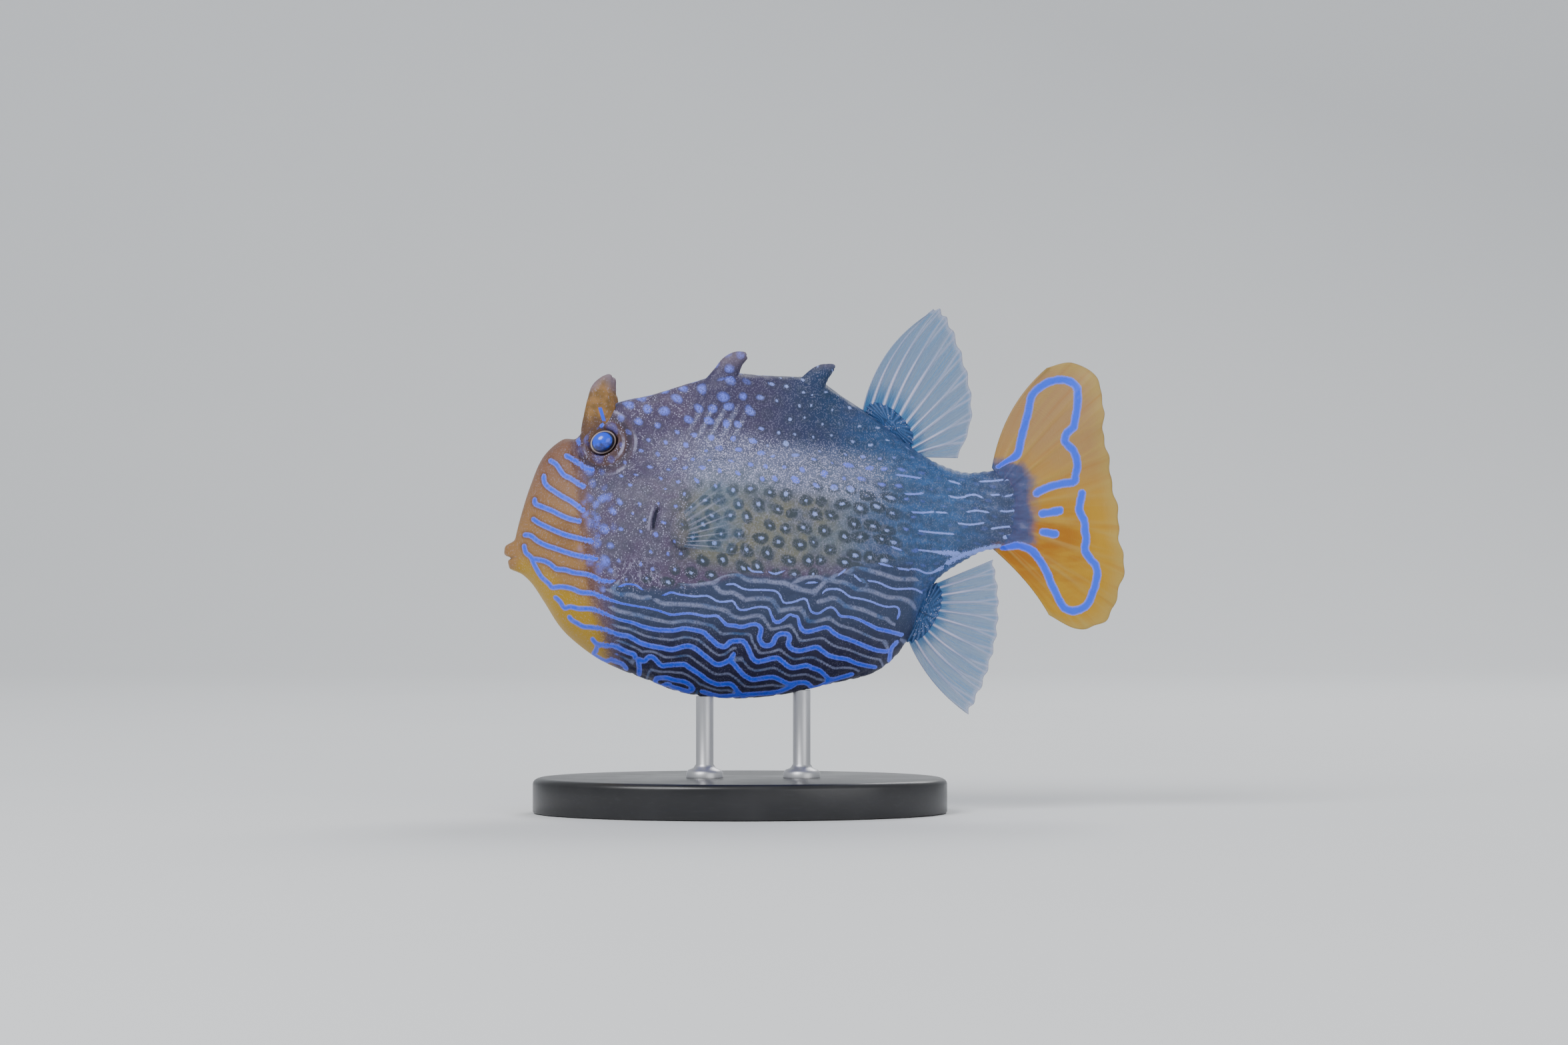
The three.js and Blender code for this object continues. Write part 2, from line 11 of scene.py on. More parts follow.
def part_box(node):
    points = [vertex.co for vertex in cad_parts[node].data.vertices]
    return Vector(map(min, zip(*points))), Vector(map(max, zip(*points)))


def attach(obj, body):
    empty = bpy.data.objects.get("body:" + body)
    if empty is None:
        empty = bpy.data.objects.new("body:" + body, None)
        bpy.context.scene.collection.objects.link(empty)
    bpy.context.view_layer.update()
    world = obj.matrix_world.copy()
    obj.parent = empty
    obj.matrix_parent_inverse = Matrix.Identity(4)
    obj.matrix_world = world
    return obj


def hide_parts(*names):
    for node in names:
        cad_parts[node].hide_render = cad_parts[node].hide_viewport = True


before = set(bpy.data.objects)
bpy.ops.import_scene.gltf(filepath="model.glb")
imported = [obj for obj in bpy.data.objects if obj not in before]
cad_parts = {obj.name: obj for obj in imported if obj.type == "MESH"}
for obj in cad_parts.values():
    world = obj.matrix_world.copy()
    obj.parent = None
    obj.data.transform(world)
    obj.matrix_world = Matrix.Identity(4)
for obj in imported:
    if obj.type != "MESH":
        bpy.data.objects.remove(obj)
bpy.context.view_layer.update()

bl_info = {
    "name": "Ornate Boxfish",
    "version": (1, 0, 0),
    "blender": (4, 5, 0),
    "location": "View3D > Sidebar > Boxfish",
    "description": "Dresses a life-size boxfish model and its display stand",
    "category": "Object",
}

MM = 0.001
SIDES = {"left": -1.0, "right": 1.0}

# Form of the body, in millimetres, the same as the solids'
# Stations from the mouth to the tail: x and z of the upper edge, x and z of the lower edge, half width
STATIONS = np.array([
    (-51.3, 60.6, -50.9, 55.3, 2.6),
    (-49.9, 66.4, -47.4, 52.2, 5.8),
    (-47.6, 73.8, -44.4, 47.8, 8.8),
    (-44.6, 80.6, -40.6, 41.9, 11.6),
    (-40.2, 84.3, -36.0, 37.6, 14.0),
    (-35.8, 84.5, -30.5, 34.0, 16.4),
    (-28.6, 91.9, -22.0, 30.6, 19.4),
    (-19.2, 94.7, -13.0, 27.3, 21.9),
    (-8.0, 97.9, -2.0, 26.0, 23.1),
    (4.0, 98.9, 9.0, 26.8, 22.7),
    (16.0, 97.6, 20.0, 29.2, 20.6),
    (26.5, 92.0, 30.8, 32.1, 17.0),
    (35.5, 85.4, 37.6, 38.6, 12.2),
    (42.5, 80.4, 43.4, 51.4, 7.6),
    (50.5, 77.2, 52.0, 57.8, 5.0),
    (57.0, 77.5, 57.5, 59.8, 3.5),
    (66.0, 78.0, 66.0, 60.2, 2.2),
])
# Half sections from the back's midline to the keel: share of the half width, share of the depth
CARAPACE = np.array([
    (0, 1), (0.24, 0.999), (0.44, 0.988), (0.5, 0.93), (0.55, 0.85), (0.66, 0.775), (0.87, 0.705),
    (0.985, 0.6), (1, 0.46), (0.95, 0.33), (0.78, 0.2), (0.5, 0.085), (0.2, 0.018), (0, 0),
])
SNOUT = np.array([
    (0, 1), (0.26, 0.99), (0.46, 0.955), (0.6, 0.885), (0.72, 0.79), (0.83, 0.69), (0.93, 0.58),
    (0.99, 0.46), (1, 0.35), (0.93, 0.25), (0.78, 0.155), (0.56, 0.07), (0.28, 0.018), (0, 0),
])
LAST = len(CARAPACE) - 1
TURN = np.pi * np.arange(LAST + 1) / LAST
STALK = np.stack([np.sin(TURN), (1 + np.cos(TURN)) / 2], axis=1)
SNOUT_TO_CARAPACE = (2.5, 7)
CARAPACE_TO_STALK = (10.5, 14)
WIDEST = 0.53

# Low mounds on the armour and the brow: x, z, radius and height
MOUNDS = [(-30.5, 84.2, 6.6, 2.1), (-2.6, 97.0, 4.6, 1.0), (16.6, 96.2, 4.2, 0.9), (-11.0, 62.5, 5.5, 0.7)]
# Eye, gill slit and nostrils as places in the side view, with the eyeball's radii along, out and across
EYE = (-30.5, 83.8)
EYE_RADII = (3.35, 3.3, 2.8)
EYE_TILT = -0.5
EYE_SUNK = 1.5
GILL = (-18.8, 66.7)
NOSTRILS = [(-37.3, 81.3, 0.62), (-35.6, 80.4, 0.5)]

HORN = {
    "y": 8.6, "lean": 1.9, "flat": 0.62,
    "rings": [(-31.6, 83.6, 4.0), (-31.4, 87.2, 4.05), (-31.35, 90.2, 3.5), (-31.05, 93.2, 3.1),
              (-30.85, 95.4, 2.6), (-30.05, 97.2, 1.8), (-29.25, 98.4, 0.95), (-28.8, 98.95, 0.35)],
}
FRONT_SPINE = {
    "y": 8.9, "lean": 1.1, "flat": 0.6,
    "rings": [(-4.4, 95.6, 4.4), (-3.1, 99.0, 3.0), (-2.1, 101.2, 2.3), (-0.7, 102.7, 1.6),
              (0.7, 103.4, 0.9), (1.6, 103.6, 0.35)],
}
REAR_SPINE = {
    "y": 8.3, "lean": 0.9, "flat": 0.6,
    "rings": [(15.4, 94.6, 4.2), (17.2, 98.0, 2.6), (18.7, 99.6, 1.9), (20.0, 100.4, 1.2),
              (20.9, 100.8, 0.7), (21.5, 100.8, 0.3)],
}
DORSAL = {
    "rays": 11,
    "root": [(27.6, 90.6), (33.0, 90.0), (36.6, 87.0), (38.6, 83.2), (39.6, 80.6)],
    "tip": [(42.3, 112.9), (44.9, 114.6), (47.5, 111.4), (50.3, 104.4), (52.3, 96.6), (52.5, 88.6),
            (49.4, 80.4)],
    "bow": (-2.2, 1.7), "sway": 0.8,
    "lobe": {"x": 34.0, "z": 87.9, "radii": (6.9, 2.3, 3.3), "tilt": 0.75},
}
ANAL = {
    "rays": 11,
    "root": [(37.2, 41.4), (41.4, 41.6), (43.6, 44.6), (44.6, 48.4), (44.4, 52.0)],
    "tip": [(51.8, 22.2), (55.6, 30.4), (58.2, 40.2), (58.6, 49.6), (57.4, 57.4)],
    "bow": (-1.5, -1.2), "sway": -0.7,
    "lobe": {"x": 41.3, "z": 45.4, "radii": (3.6, 2.2, 7.4), "tilt": 0.47},
}
PECTORAL = {
    "rays": 10,
    "root": [(-12.2, 68.0), (-11.0, 65.0), (-11.2, 62.4), (-12.2, 60.4)],
    "tip": [(-3.6, 75.4), (0.9, 70.8), (1.6, 64.2), (-1.8, 58.8)],
    "bow": (0.4, 0.8), "slant": 0.62, "cup": 1.2,
    "lobe": {"x": -12.2, "z": 64.3, "radii": (3.3, 2.3, 4.5), "tilt": 0.0},
}
CAUDAL = {
    "rays": 11, "middle": 69.1, "half_root": 9.6, "root_x": 62.4, "root_bow": 3.3,
    "tip": [(69.6, 100.9), (75.4, 102.1), (81.0, 98.6), (82.2, 90.6), (83.0, 82.6), (84.9, 73.6),
            (85.9, 64.2), (86.8, 55.6), (84.6, 46.0), (77.8, 41.4), (70.0, 44.8)],
    "bow_above": (-1.9, 1.4), "bow_below": (1.2, 0.0), "fleshy": 1.55, "fleshy_reach": 0.3,
    "waves": 2.6, "wave_height": 1.5,
}
STAND = {"length": 94.0, "width": 58.0, "height": 8.0, "rod_radius": 2.0, "rod_x": (-8.0, 14.0),
         "foot_radius": 4.2}
SHARP = math.radians(40)

# Blue lines of the skin as places in the side view, from their front ends
SKIN_LINES = [
    # Snout, from the top down
    [(-39, 80.8), (-37.4, 79.9), (-36, 79), (-34.5, 78), (-33, 77.6)],
    [(-42.6, 79.7), (-41.3, 78.9), (-40.3, 77.5), (-39.4, 76.4), (-37.8, 75.6), (-36, 74.4),
     (-35, 73.9)],
    [(-44.1, 76.2), (-44, 75), (-43.2, 73.9), (-41.6, 72.8), (-39.5, 71.5), (-37.5, 70.4), (-35, 68.5)],
    [(-46.2, 70.9), (-46, 70), (-44.3, 69.3), (-42, 68.4), (-40, 67.4), (-38, 66.6), (-35.8, 66.1)],
    [(-46.4, 66.5), (-45, 65.6), (-42.8, 64.6), (-40.5, 63.6), (-38.5, 62.9), (-36, 62.3), (-33, 61.6)],
    [(-48.4, 63), (-47, 62.8), (-45.5, 61.7), (-43.5, 60.7), (-41, 59.9), (-38, 58.9), (-35, 58.2),
     (-32, 57.8)],
    [(-46.5, 57.6), (-44, 57.2), (-42.5, 56.5), (-41, 55.4), (-39, 55.2), (-37, 54.6), (-34.5, 54.3),
     (-33, 53.9), (-31, 53), (-29, 52.6), (-28, 52.8)],
    # Wavy lines of the flank
    [(-48.6, 60.4), (-48.2, 59), (-47, 58), (-46.3, 56.5), (-45.5, 55), (-44.5, 53.5), (-42.8, 52),
     (-42, 51.2), (-40, 51.4), (-37.5, 51), (-35.5, 50.2), (-33, 50), (-30.5, 49.2), (-28, 48.3),
     (-25, 47.5), (-20, 46.7), (-17, 45.9), (-15, 45.3), (-12, 45.6), (-10, 45.5), (-7.5, 45),
     (-5, 45.1), (-4, 44.3), (-3.2, 43.5), (-2.5, 43), (-1, 42.9), (0.5, 42.6), (3, 43.2), (4, 43.1),
     (4.8, 42.4), (4.8, 41.3), (4.5, 40.2), (4.8, 39.2), (5.5, 38.4), (6.5, 38.3), (7.5, 38.8),
     (7.8, 39.6), (8.3, 40.5), (9.2, 41), (10.3, 41), (11, 40.7), (11.2, 39.8), (10.9, 38.7),
     (11.3, 37.9), (12.2, 37.3), (13.5, 37.1), (15, 37.4), (17.3, 37.9), (18.2, 37.3), (19.3, 36.5),
     (20.2, 35.9), (22, 35.4), (24, 35.1), (26.3, 34.1), (28.5, 33.5), (30.5, 33.1)],
    [(-16.6, 49.7), (-15, 50.3), (-13.5, 49.9), (-10, 49.4), (-7, 49.5), (-5, 48.4), (-3.5, 48.2),
     (-1.5, 48.4), (-0.8, 47.6), (0, 46.5), (1.5, 46.4), (3, 46.8), (4.7, 47.1), (6.5, 46.7),
     (7.2, 45.2), (7.6, 44.2), (8.4, 43.6), (9.5, 44), (11.2, 45.3), (12.2, 45), (13, 44.8),
     (13.5, 42.9), (14.3, 41.7), (15.5, 41.5), (17.5, 42), (19.5, 42.4), (21.2, 41.1), (22.7, 40.2),
     (24.5, 39.6), (26.7, 38.7), (29, 37.7), (31, 37), (33, 36.7)],
    [(35.4, 38.8), (34.3, 37.6), (34, 36.3), (33.8, 34.6)],
    [(-2.5, 52.1), (-1, 52.1), (0.5, 51.3), (2, 50.9), (6, 50.8), (8, 50.6), (9, 49.8), (10, 48),
     (12, 48.1), (14, 48.8), (15, 48.6), (15.8, 46.4), (16.5, 45.7), (17.8, 45.6), (20, 46.9),
     (21.3, 46.5), (22.5, 45), (24, 44.8), (26, 44.4), (28, 43.5), (31, 42), (33, 41.5), (36.5, 40.5)],
    [(18.8, 50.3), (19.5, 50.9), (21, 51), (22.5, 50.8), (24.8, 49.2), (27, 48.8), (29, 48.3),
     (31, 47.5), (33, 46.9), (35.2, 46.9), (35.9, 45.8), (35.6, 44.5)],
    [(29, 52.8), (31, 52.4), (33, 51.5), (35, 50.9), (39, 50.9), (41, 50)],
    [(38.5, 55.4), (40, 55.2), (42, 54.4), (43.5, 54.5), (45.5, 55.5)],
    [(-26.4, 51.6), (-25, 52.1), (-23.1, 51.9), (-21.7, 51)],
    # Short pale marks over them
    [(2.2, 55.6), (3, 55), (5, 54.8)],
    [(7, 54.7), (8, 54.4), (9.7, 54.9)],
    [(31.5, 56.6), (33.8, 56)],
    [(35.7, 55.5), (37.8, 55.2)],
    [(22.3, 54.2), (23.5, 55.2)],
    [(25.8, 53.9), (26.9, 52.9)],
    [(34.3, 60.3), (36, 59.7)],
    [(15.2, 52.4), (17, 52.5)],
    # Brow
    [(-30.9, 88.7), (-30.7, 88.1), (-30.9, 87.5)],
    [(-36.3, 84.3), (-36.1, 83.7)],
    # Dashes of the rear flank and the stalk
    [(35.5, 76.5), (38, 76.2), (40.5, 75.8)],
    [(37.5, 72.2), (39.5, 72.2), (41, 72.4)],
    [(39, 68.1), (41, 68), (43.5, 68.2)],
    [(44.5, 68.1), (46.5, 68)],
    [(40.5, 63.9), (44, 63.5), (48, 63.2)],
    [(40.5, 59.6), (45, 59.1), (49, 58.8)],
    [(47.5, 71.7), (49, 71.4), (51, 71.6)],
    [(49.5, 65.6), (52, 65.3), (55, 65.7)],
    [(47.5, 75.2), (49.5, 74.6)],
    [(54.5, 75.1), (57, 75.2), (59, 75.4), (62, 75.7)],
    [(57, 72), (58.5, 72.1)],
    [(60, 71.7), (62, 72.1), (64.5, 72.5)],
    [(51, 71.8), (53, 72.1), (54.6, 71.5)],
    [(59, 68.4), (60.5, 68.3), (62, 68.5)],
    [(62.5, 68.5), (64, 68.7), (65.7, 69.1)],
    [(51.5, 68.2), (53.5, 68.5), (56, 68.1)],
    [(57, 64.4), (60, 64.8), (63, 64.9), (66, 64.8)],
    [(60, 62.6), (62, 62.8)],
    [(47, 56.6), (49, 57.8), (51, 58.6), (54, 59.4), (57, 60.1), (59.5, 60.4)],
    # Belly
    [(-41.3, 48.9), (-40.3, 48), (-39.3, 46.6), (-38, 46.9), (-36, 46.5), (-34, 46.5), (-32, 46.2),
     (-29, 45), (-27, 44.2), (-24, 43.5), (-21.5, 42.6), (-19, 42), (-16.5, 41.8), (-14.5, 41.8),
     (-12.5, 42.2), (-10.5, 42), (-8, 41.4), (-7, 40.5), (-5.8, 39.4), (-4.8, 38.5), (-3.7, 38.1),
     (-2.8, 38.3), (-2, 39.2), (-0.5, 39.4), (0.9, 39.3), (1.6, 38.4), (2.2, 37.2), (2.8, 35.7),
     (3.8, 34.7), (5, 34.8), (8, 35.5), (9.2, 35), (11, 33.5), (12.3, 33.2), (15, 33.7), (16.3, 33.1),
     (17.8, 32.6), (18.8, 31.8), (20.5, 30.3), (23, 30.8), (25.3, 31.5)],
    [(-38.2, 44.5), (-37.6, 43.8), (-36.3, 43.1), (-35, 42.4), (-33.3, 42.3), (-30, 41.8), (-27, 40.7),
     (-25, 40.4), (-23.5, 39.6), (-22, 38.8), (-20, 38.2), (-17, 37.7), (-15, 37.4), (-12, 38.2),
     (-10.5, 38), (-9.3, 37.3), (-8, 36.2), (-6.5, 35), (-5.5, 34.2), (-4.5, 34), (-3.3, 34.4), (-2, 35),
     (-1.3, 34.2), (0.7, 31.8), (2, 30.9), (3.2, 30.5), (6.5, 31), (8, 30.9), (9.2, 30.3), (11.2, 29.3),
     (12.5, 29.6), (15, 29.6), (16.6, 28.3), (18.2, 28.7), (20.5, 30)],
    [(-2, 35), (-1.3, 36.3)],
    [(-22.8, 31.5), (-22.6, 33), (-22.8, 35), (-21.5, 34.6), (-20.3, 35.6), (-19.2, 35.4), (-17.6, 33.7),
     (-16, 33.8), (-12.5, 34), (-11.3, 33.3), (-9.8, 32.3), (-8.5, 31.4), (-7.3, 30.4), (-5, 29.4),
     (-2.3, 29.5), (-1.3, 28.8), (-0.5, 27.7), (0.8, 26.3)],
    # Throat and keel
    [(-33, 39.5), (-32, 38.4), (-30, 38.2), (-28, 38), (-26.5, 37.3), (-25, 36.6), (-23.7, 36.2),
     (-23.5, 35.6)],
    [(-32, 38), (-32.5, 36.8), (-33, 36), (-32, 35.2), (-30.5, 34.5), (-29, 34.7), (-27.5, 34.3),
     (-26.3, 33.7), (-25.7, 32.8)],
    [(-18.8, 30.6), (-16.6, 30.8), (-14.8, 30.3), (-12.2, 29.8), (-10.6, 28.4), (-11.6, 27.6),
     (-13.8, 28.2), (-15.4, 28.6), (-16.2, 29.3), (-18, 28.6), (-19.2, 29.4), (-18.8, 30.6)],
    [(-8.5, 27.6), (-5, 26.5), (-3, 26.5), (0, 26.8), (3, 27), (8, 27.4), (10, 28), (12.5, 29.3)],
]
# Unseen lines above the uppermost ones, which hold the last veins
VEIN_GUIDES = [
    [(-24, 56), (-18, 55), (-12, 54.6), (-6, 55.6), (0, 56.6), (3, 55.4), (9, 55), (14, 55), (18, 55.4)],
    [(17, 55.4), (20, 55), (24, 54.2), (27, 53.4), (29, 52.8)],
    [(24, 58.6), (28, 57.8), (31.5, 56.6), (36, 55.6), (41, 55), (45, 54)],
]
# Places along the body, and the height of the lined belly's upper edge there
BELLY_EDGE = ((-32, -20, -10, 0, 10, 20, 30, 40), (53, 51, 51.6, 54.2, 53.6, 53.8, 56.2, 57))
# Upper and lower loop of the tail fin, and two dashes between them
TAIL_LINES = [
    [(58.5, 78.5), (60.4, 79.7), (62.1, 80.6), (63.2, 81.9), (63.5, 83.9), (64.1, 86.1), (64.8, 88.7),
     (65.4, 91), (65.8, 93.2), (66.5, 95.1), (68.3, 96.7), (70.5, 97.8), (73.2, 98.2), (74.9, 97.8),
     (76.3, 96.5), (76.6, 94.5), (76.4, 91.8), (76, 89.2), (75.6, 87.4), (74.1, 86.1), (73.6, 84.3),
     (74.7, 83), (75.8, 81.7), (76.5, 79), (76.1, 76.8), (75.8, 75.1), (73.2, 74.6), (70.5, 74),
     (67.9, 72.9), (67.2, 72.4)],
    [(77.6, 72.4), (77.1, 70.2), (77, 68.4), (78, 66.2), (78.2, 64), (78.4, 62), (78.1, 59.6),
     (79.3, 57.6), (80.6, 56.1), (81, 53.9), (80.4, 51.2), (79.5, 48.6), (78.2, 46.6), (75.8, 45.7),
     (73.6, 46.4), (72.5, 48.1), (71.6, 49.9), (70.3, 52.5), (69.2, 55.2), (67.4, 58.1), (65.6, 59.8),
     (63.4, 60.5), (61.6, 60.3), (59.5, 60)],
    [(68.5, 67.8), (70.5, 68.1), (72.5, 68.5)],
    [(68.7, 63.6), (70, 63.5), (71.4, 63.2)],
]
# Distances from a line that are kept
LINE_REACH = 1.3
TAIL_LINE_REACH = LINE_REACH * 1.4
VEIN_REACH = 0.9


# Shape functions
def smooth(value, low, high):
    """Eased step from 0 at low to 1 at high."""
    t = np.clip((value - low) / (high - low), 0, 1)
    return t * t * (3 - 2 * t)


def fall(value, low, high):
    """Eased step from 1 at low to 0 at high."""
    return 1 - smooth(value, low, high)


def within(value, low, full, ebb, high):
    """Rises from low to full and falls again from ebb to high."""
    return smooth(value, low, full) * fall(value, ebb, high)


def bell(value, width):
    return np.exp(-((value / width) ** 2))


def catmull(p0, p1, p2, p3, t):
    inner = (2 * p0 - 5 * p1 + 4 * p2 - p3) * t * t
    return 0.5 * (2 * p1 + (p2 - p0) * t + inner + (3 * p1 - p0 - 3 * p2 + p3) * t**3)


def through(rows, place):
    """Smooth rows of numbers through a table, at places counted in its rows."""
    rows = np.asarray(rows, float)
    at = np.clip(place, 0, len(rows) - 1)
    i = np.minimum(at.astype(int), len(rows) - 2)
    pick = [rows[np.clip(i + k, 0, len(rows) - 1)] for k in (-1, 0, 1, 2)]
    return catmull(*pick, (at - i)[:, None])


def section(place, row):
    """Points of the body's right side at a station place and a row of the section tables."""
    top_x, top_z, low_x, low_z, half = through(STATIONS, place).T
    armour = smooth(place, *SNOUT_TO_CARAPACE)[:, None]
    stalk = smooth(place, *CARAPACE_TO_STALK)[:, None]
    i = np.clip(row.astype(int), 0, LAST - 1)

    def profile(k):
        turned = np.where(k > LAST, 2 * LAST - k, np.abs(k))
        sign = np.where((k < 0) | (k > LAST), -1.0, 1.0)
        front = SNOUT[turned] + (CARAPACE[turned] - SNOUT[turned]) * armour
        mixed = front + (STALK[turned] - front) * stalk
        return mixed * np.stack([sign, np.ones_like(sign)], axis=1)

    share = catmull(profile(i - 1), profile(i), profile(i + 1), profile(i + 2), (row - i)[:, None])
    y, h = share.T
    return np.stack([low_x + (top_x - low_x) * h, half * y, low_z + (top_z - low_z) * h], axis=1)


ROW_SAMPLES = np.linspace(0, LAST, 261)
ROW_POINTS = section(np.full(len(ROW_SAMPLES), WIDEST * (len(STATIONS) - 1)), ROW_SAMPLES)
ROW_LENGTHS = np.concatenate([[0], np.cumsum(np.linalg.norm(np.diff(ROW_POINTS, axis=0), axis=1))])
HALF_GIRTH = ROW_LENGTHS[-1]


def half_turn(f):
    """Share of the way from the back to the keel, on either side."""
    turn = f % 1.0
    return np.where(turn <= 0.5, turn * 2, 2 - turn * 2)


def bare_body(s, f):
    """Points of the body before any relief. f goes once round it, from the back by the right side."""
    row = np.interp(half_turn(f) * HALF_GIRTH, ROW_LENGTHS, ROW_SAMPLES)
    points = section(np.clip(s, 0, 1) * (len(STATIONS) - 1), row)
    points[:, 1] *= np.where(f % 1.0 > 0.5, -1.0, 1.0)
    return points


def body(s, f):
    """Points of the body with its mounds, and the directions out of it."""
    step = 0.004
    inside = np.clip(s, step, 1 - step)
    along = bare_body(inside + step, f) - bare_body(inside - step, f)
    around = bare_body(inside, f + step) - bare_body(inside, f - step)
    out = np.cross(along, around)
    out /= np.linalg.norm(out, axis=1)[:, None]
    points = bare_body(s, f)
    swell = sum(h * bell(np.hypot(points[:, 0] - x, points[:, 2] - z), r) for x, z, r, h in MOUNDS)
    return points + out * swell[:, None], out


def skin_at(x, z):
    """Where the right side of the body passes a place in the side view."""
    s, f = np.meshgrid(np.linspace(0, 1, 500), np.linspace(0.01, 0.49, 300))
    points, _ = body(s.ravel(), f.ravel())
    return points[np.argmin(np.hypot(points[:, 0] - x, points[:, 2] - z))]


def eye_place(x, z):
    """Place on the eye along and across its tilt, where its edge lies at 1."""
    c, s = math.cos(EYE_TILT), -math.sin(EYE_TILT)
    dx, dz = x - EYE[0], z - EYE[1]
    along = dx * (c / EYE_RADII[0]) + dz * (s / EYE_RADII[0])
    return along, dz * (c / EYE_RADII[2]) + dx * (-s / EYE_RADII[2])


def gill_place(x, z):
    """Distance behind the bowed gill slit and above its middle."""
    gill_z = z - GILL[1]
    return x - GILL[0] - (gill_z * 0.2 + gill_z * gill_z * 0.03), gill_z


# Hexagonal plates: rows of plates fall slightly towards the tail
PLATE_WIDTH = 4.1
PLATE_ROW = 3.4
PLATE_SLOPE = 0.165
PLATE_ORIGIN = (-1.8, 73.5)


def plate_place(x, height):
    """Coordinates in which the plates' middles make an even lattice."""
    return x - PLATE_ORIGIN[0], height - PLATE_ORIGIN[1] + PLATE_SLOPE * x


def plate_edge(a, b):
    """Distance to the nearest border between two plates."""
    gaps = []
    for shift in (0.0, 0.5):
        mid_a = (np.round(a / PLATE_WIDTH - shift) + shift) * PLATE_WIDTH
        mid_b = (np.round(b / (2 * PLATE_ROW) - shift) + shift) * 2 * PLATE_ROW
        for step in (-PLATE_WIDTH, 0, PLATE_WIDTH):
            gaps.append(np.hypot(a - mid_a - step, b - mid_b))
    near = np.sort(np.array(gaps), axis=0)
    return (near[1] - near[0]) / 2


# Markings
LINE_STEPS = 4
FAR = 50.0


def polyline(points):
    """A smooth line through a few places."""
    return through(points, np.linspace(0, len(points) - 1, (len(points) - 1) * LINE_STEPS + 1))


def line_field(x, z, lines):
    """Distances to the nearest line below and the nearest line above each place."""
    place = np.stack([x, z], axis=1)
    below, above = np.full((2, len(x)), FAR)
    for points in lines:
        line = polyline(points)
        near = np.full(len(x), np.inf)
        side = np.ones(len(x))
        for start, end in zip(line[:-1], line[1:]):
            step = end - start
            offset = place - start
            t = np.clip(offset @ step / max(step @ step, 1e-9), 0, 1)
            gap = offset - t[:, None] * step
            distance = np.hypot(gap[:, 0], gap[:, 1])
            turn = step[0] * offset[:, 1] - step[1] * offset[:, 0]
            closer = distance < near
            near[closer] = distance[closer]
            side[closer] = np.where(turn[closer] >= 0, 1.0, -1.0)
        below = np.where(side > 0, np.minimum(below, near), below)
        above = np.where(side < 0, np.minimum(above, near), above)
    return below, above


def nearest(below, above):
    """Signed distance to the nearest line, above zero where that line lies below."""
    return np.where(below <= above, below, -above)


def wound(signed, reach):
    """A clipped signed distance as a point on a circle, which blends well between vertices."""
    angle = np.pi * np.clip(signed / reach, -1, 1)
    return np.cos(angle), np.sin(angle)


def store(mesh, name, columns):
    """Keeps three numbers for each vertex under a name that a material reads."""
    values = np.stack([np.broadcast_to(c, len(mesh.vertices)) for c in columns], axis=1)
    held = mesh.attributes.new(name, "FLOAT_VECTOR", "POINT")
    held.data.foreach_set("vector", values.astype(np.float32).ravel())


def corners(mesh):
    """A mesh's corners in rows, as it holds them."""
    flat = np.empty(len(mesh.vertices) * 3, np.float32)
    mesh.vertices.foreach_get("co", flat)
    return flat.reshape(-1, 3).astype(float)


def vertex_mm(mesh):
    return corners(mesh) / MM


# Heights of the edge where the brown of the face gives way to the body's violet, and its x there
SNOUT_EDGE = ((34, 45, 52, 58, 66, 74, 80, 85), (-28, -30, -31, -31.5, -33, -33.5, -35, -35.5))


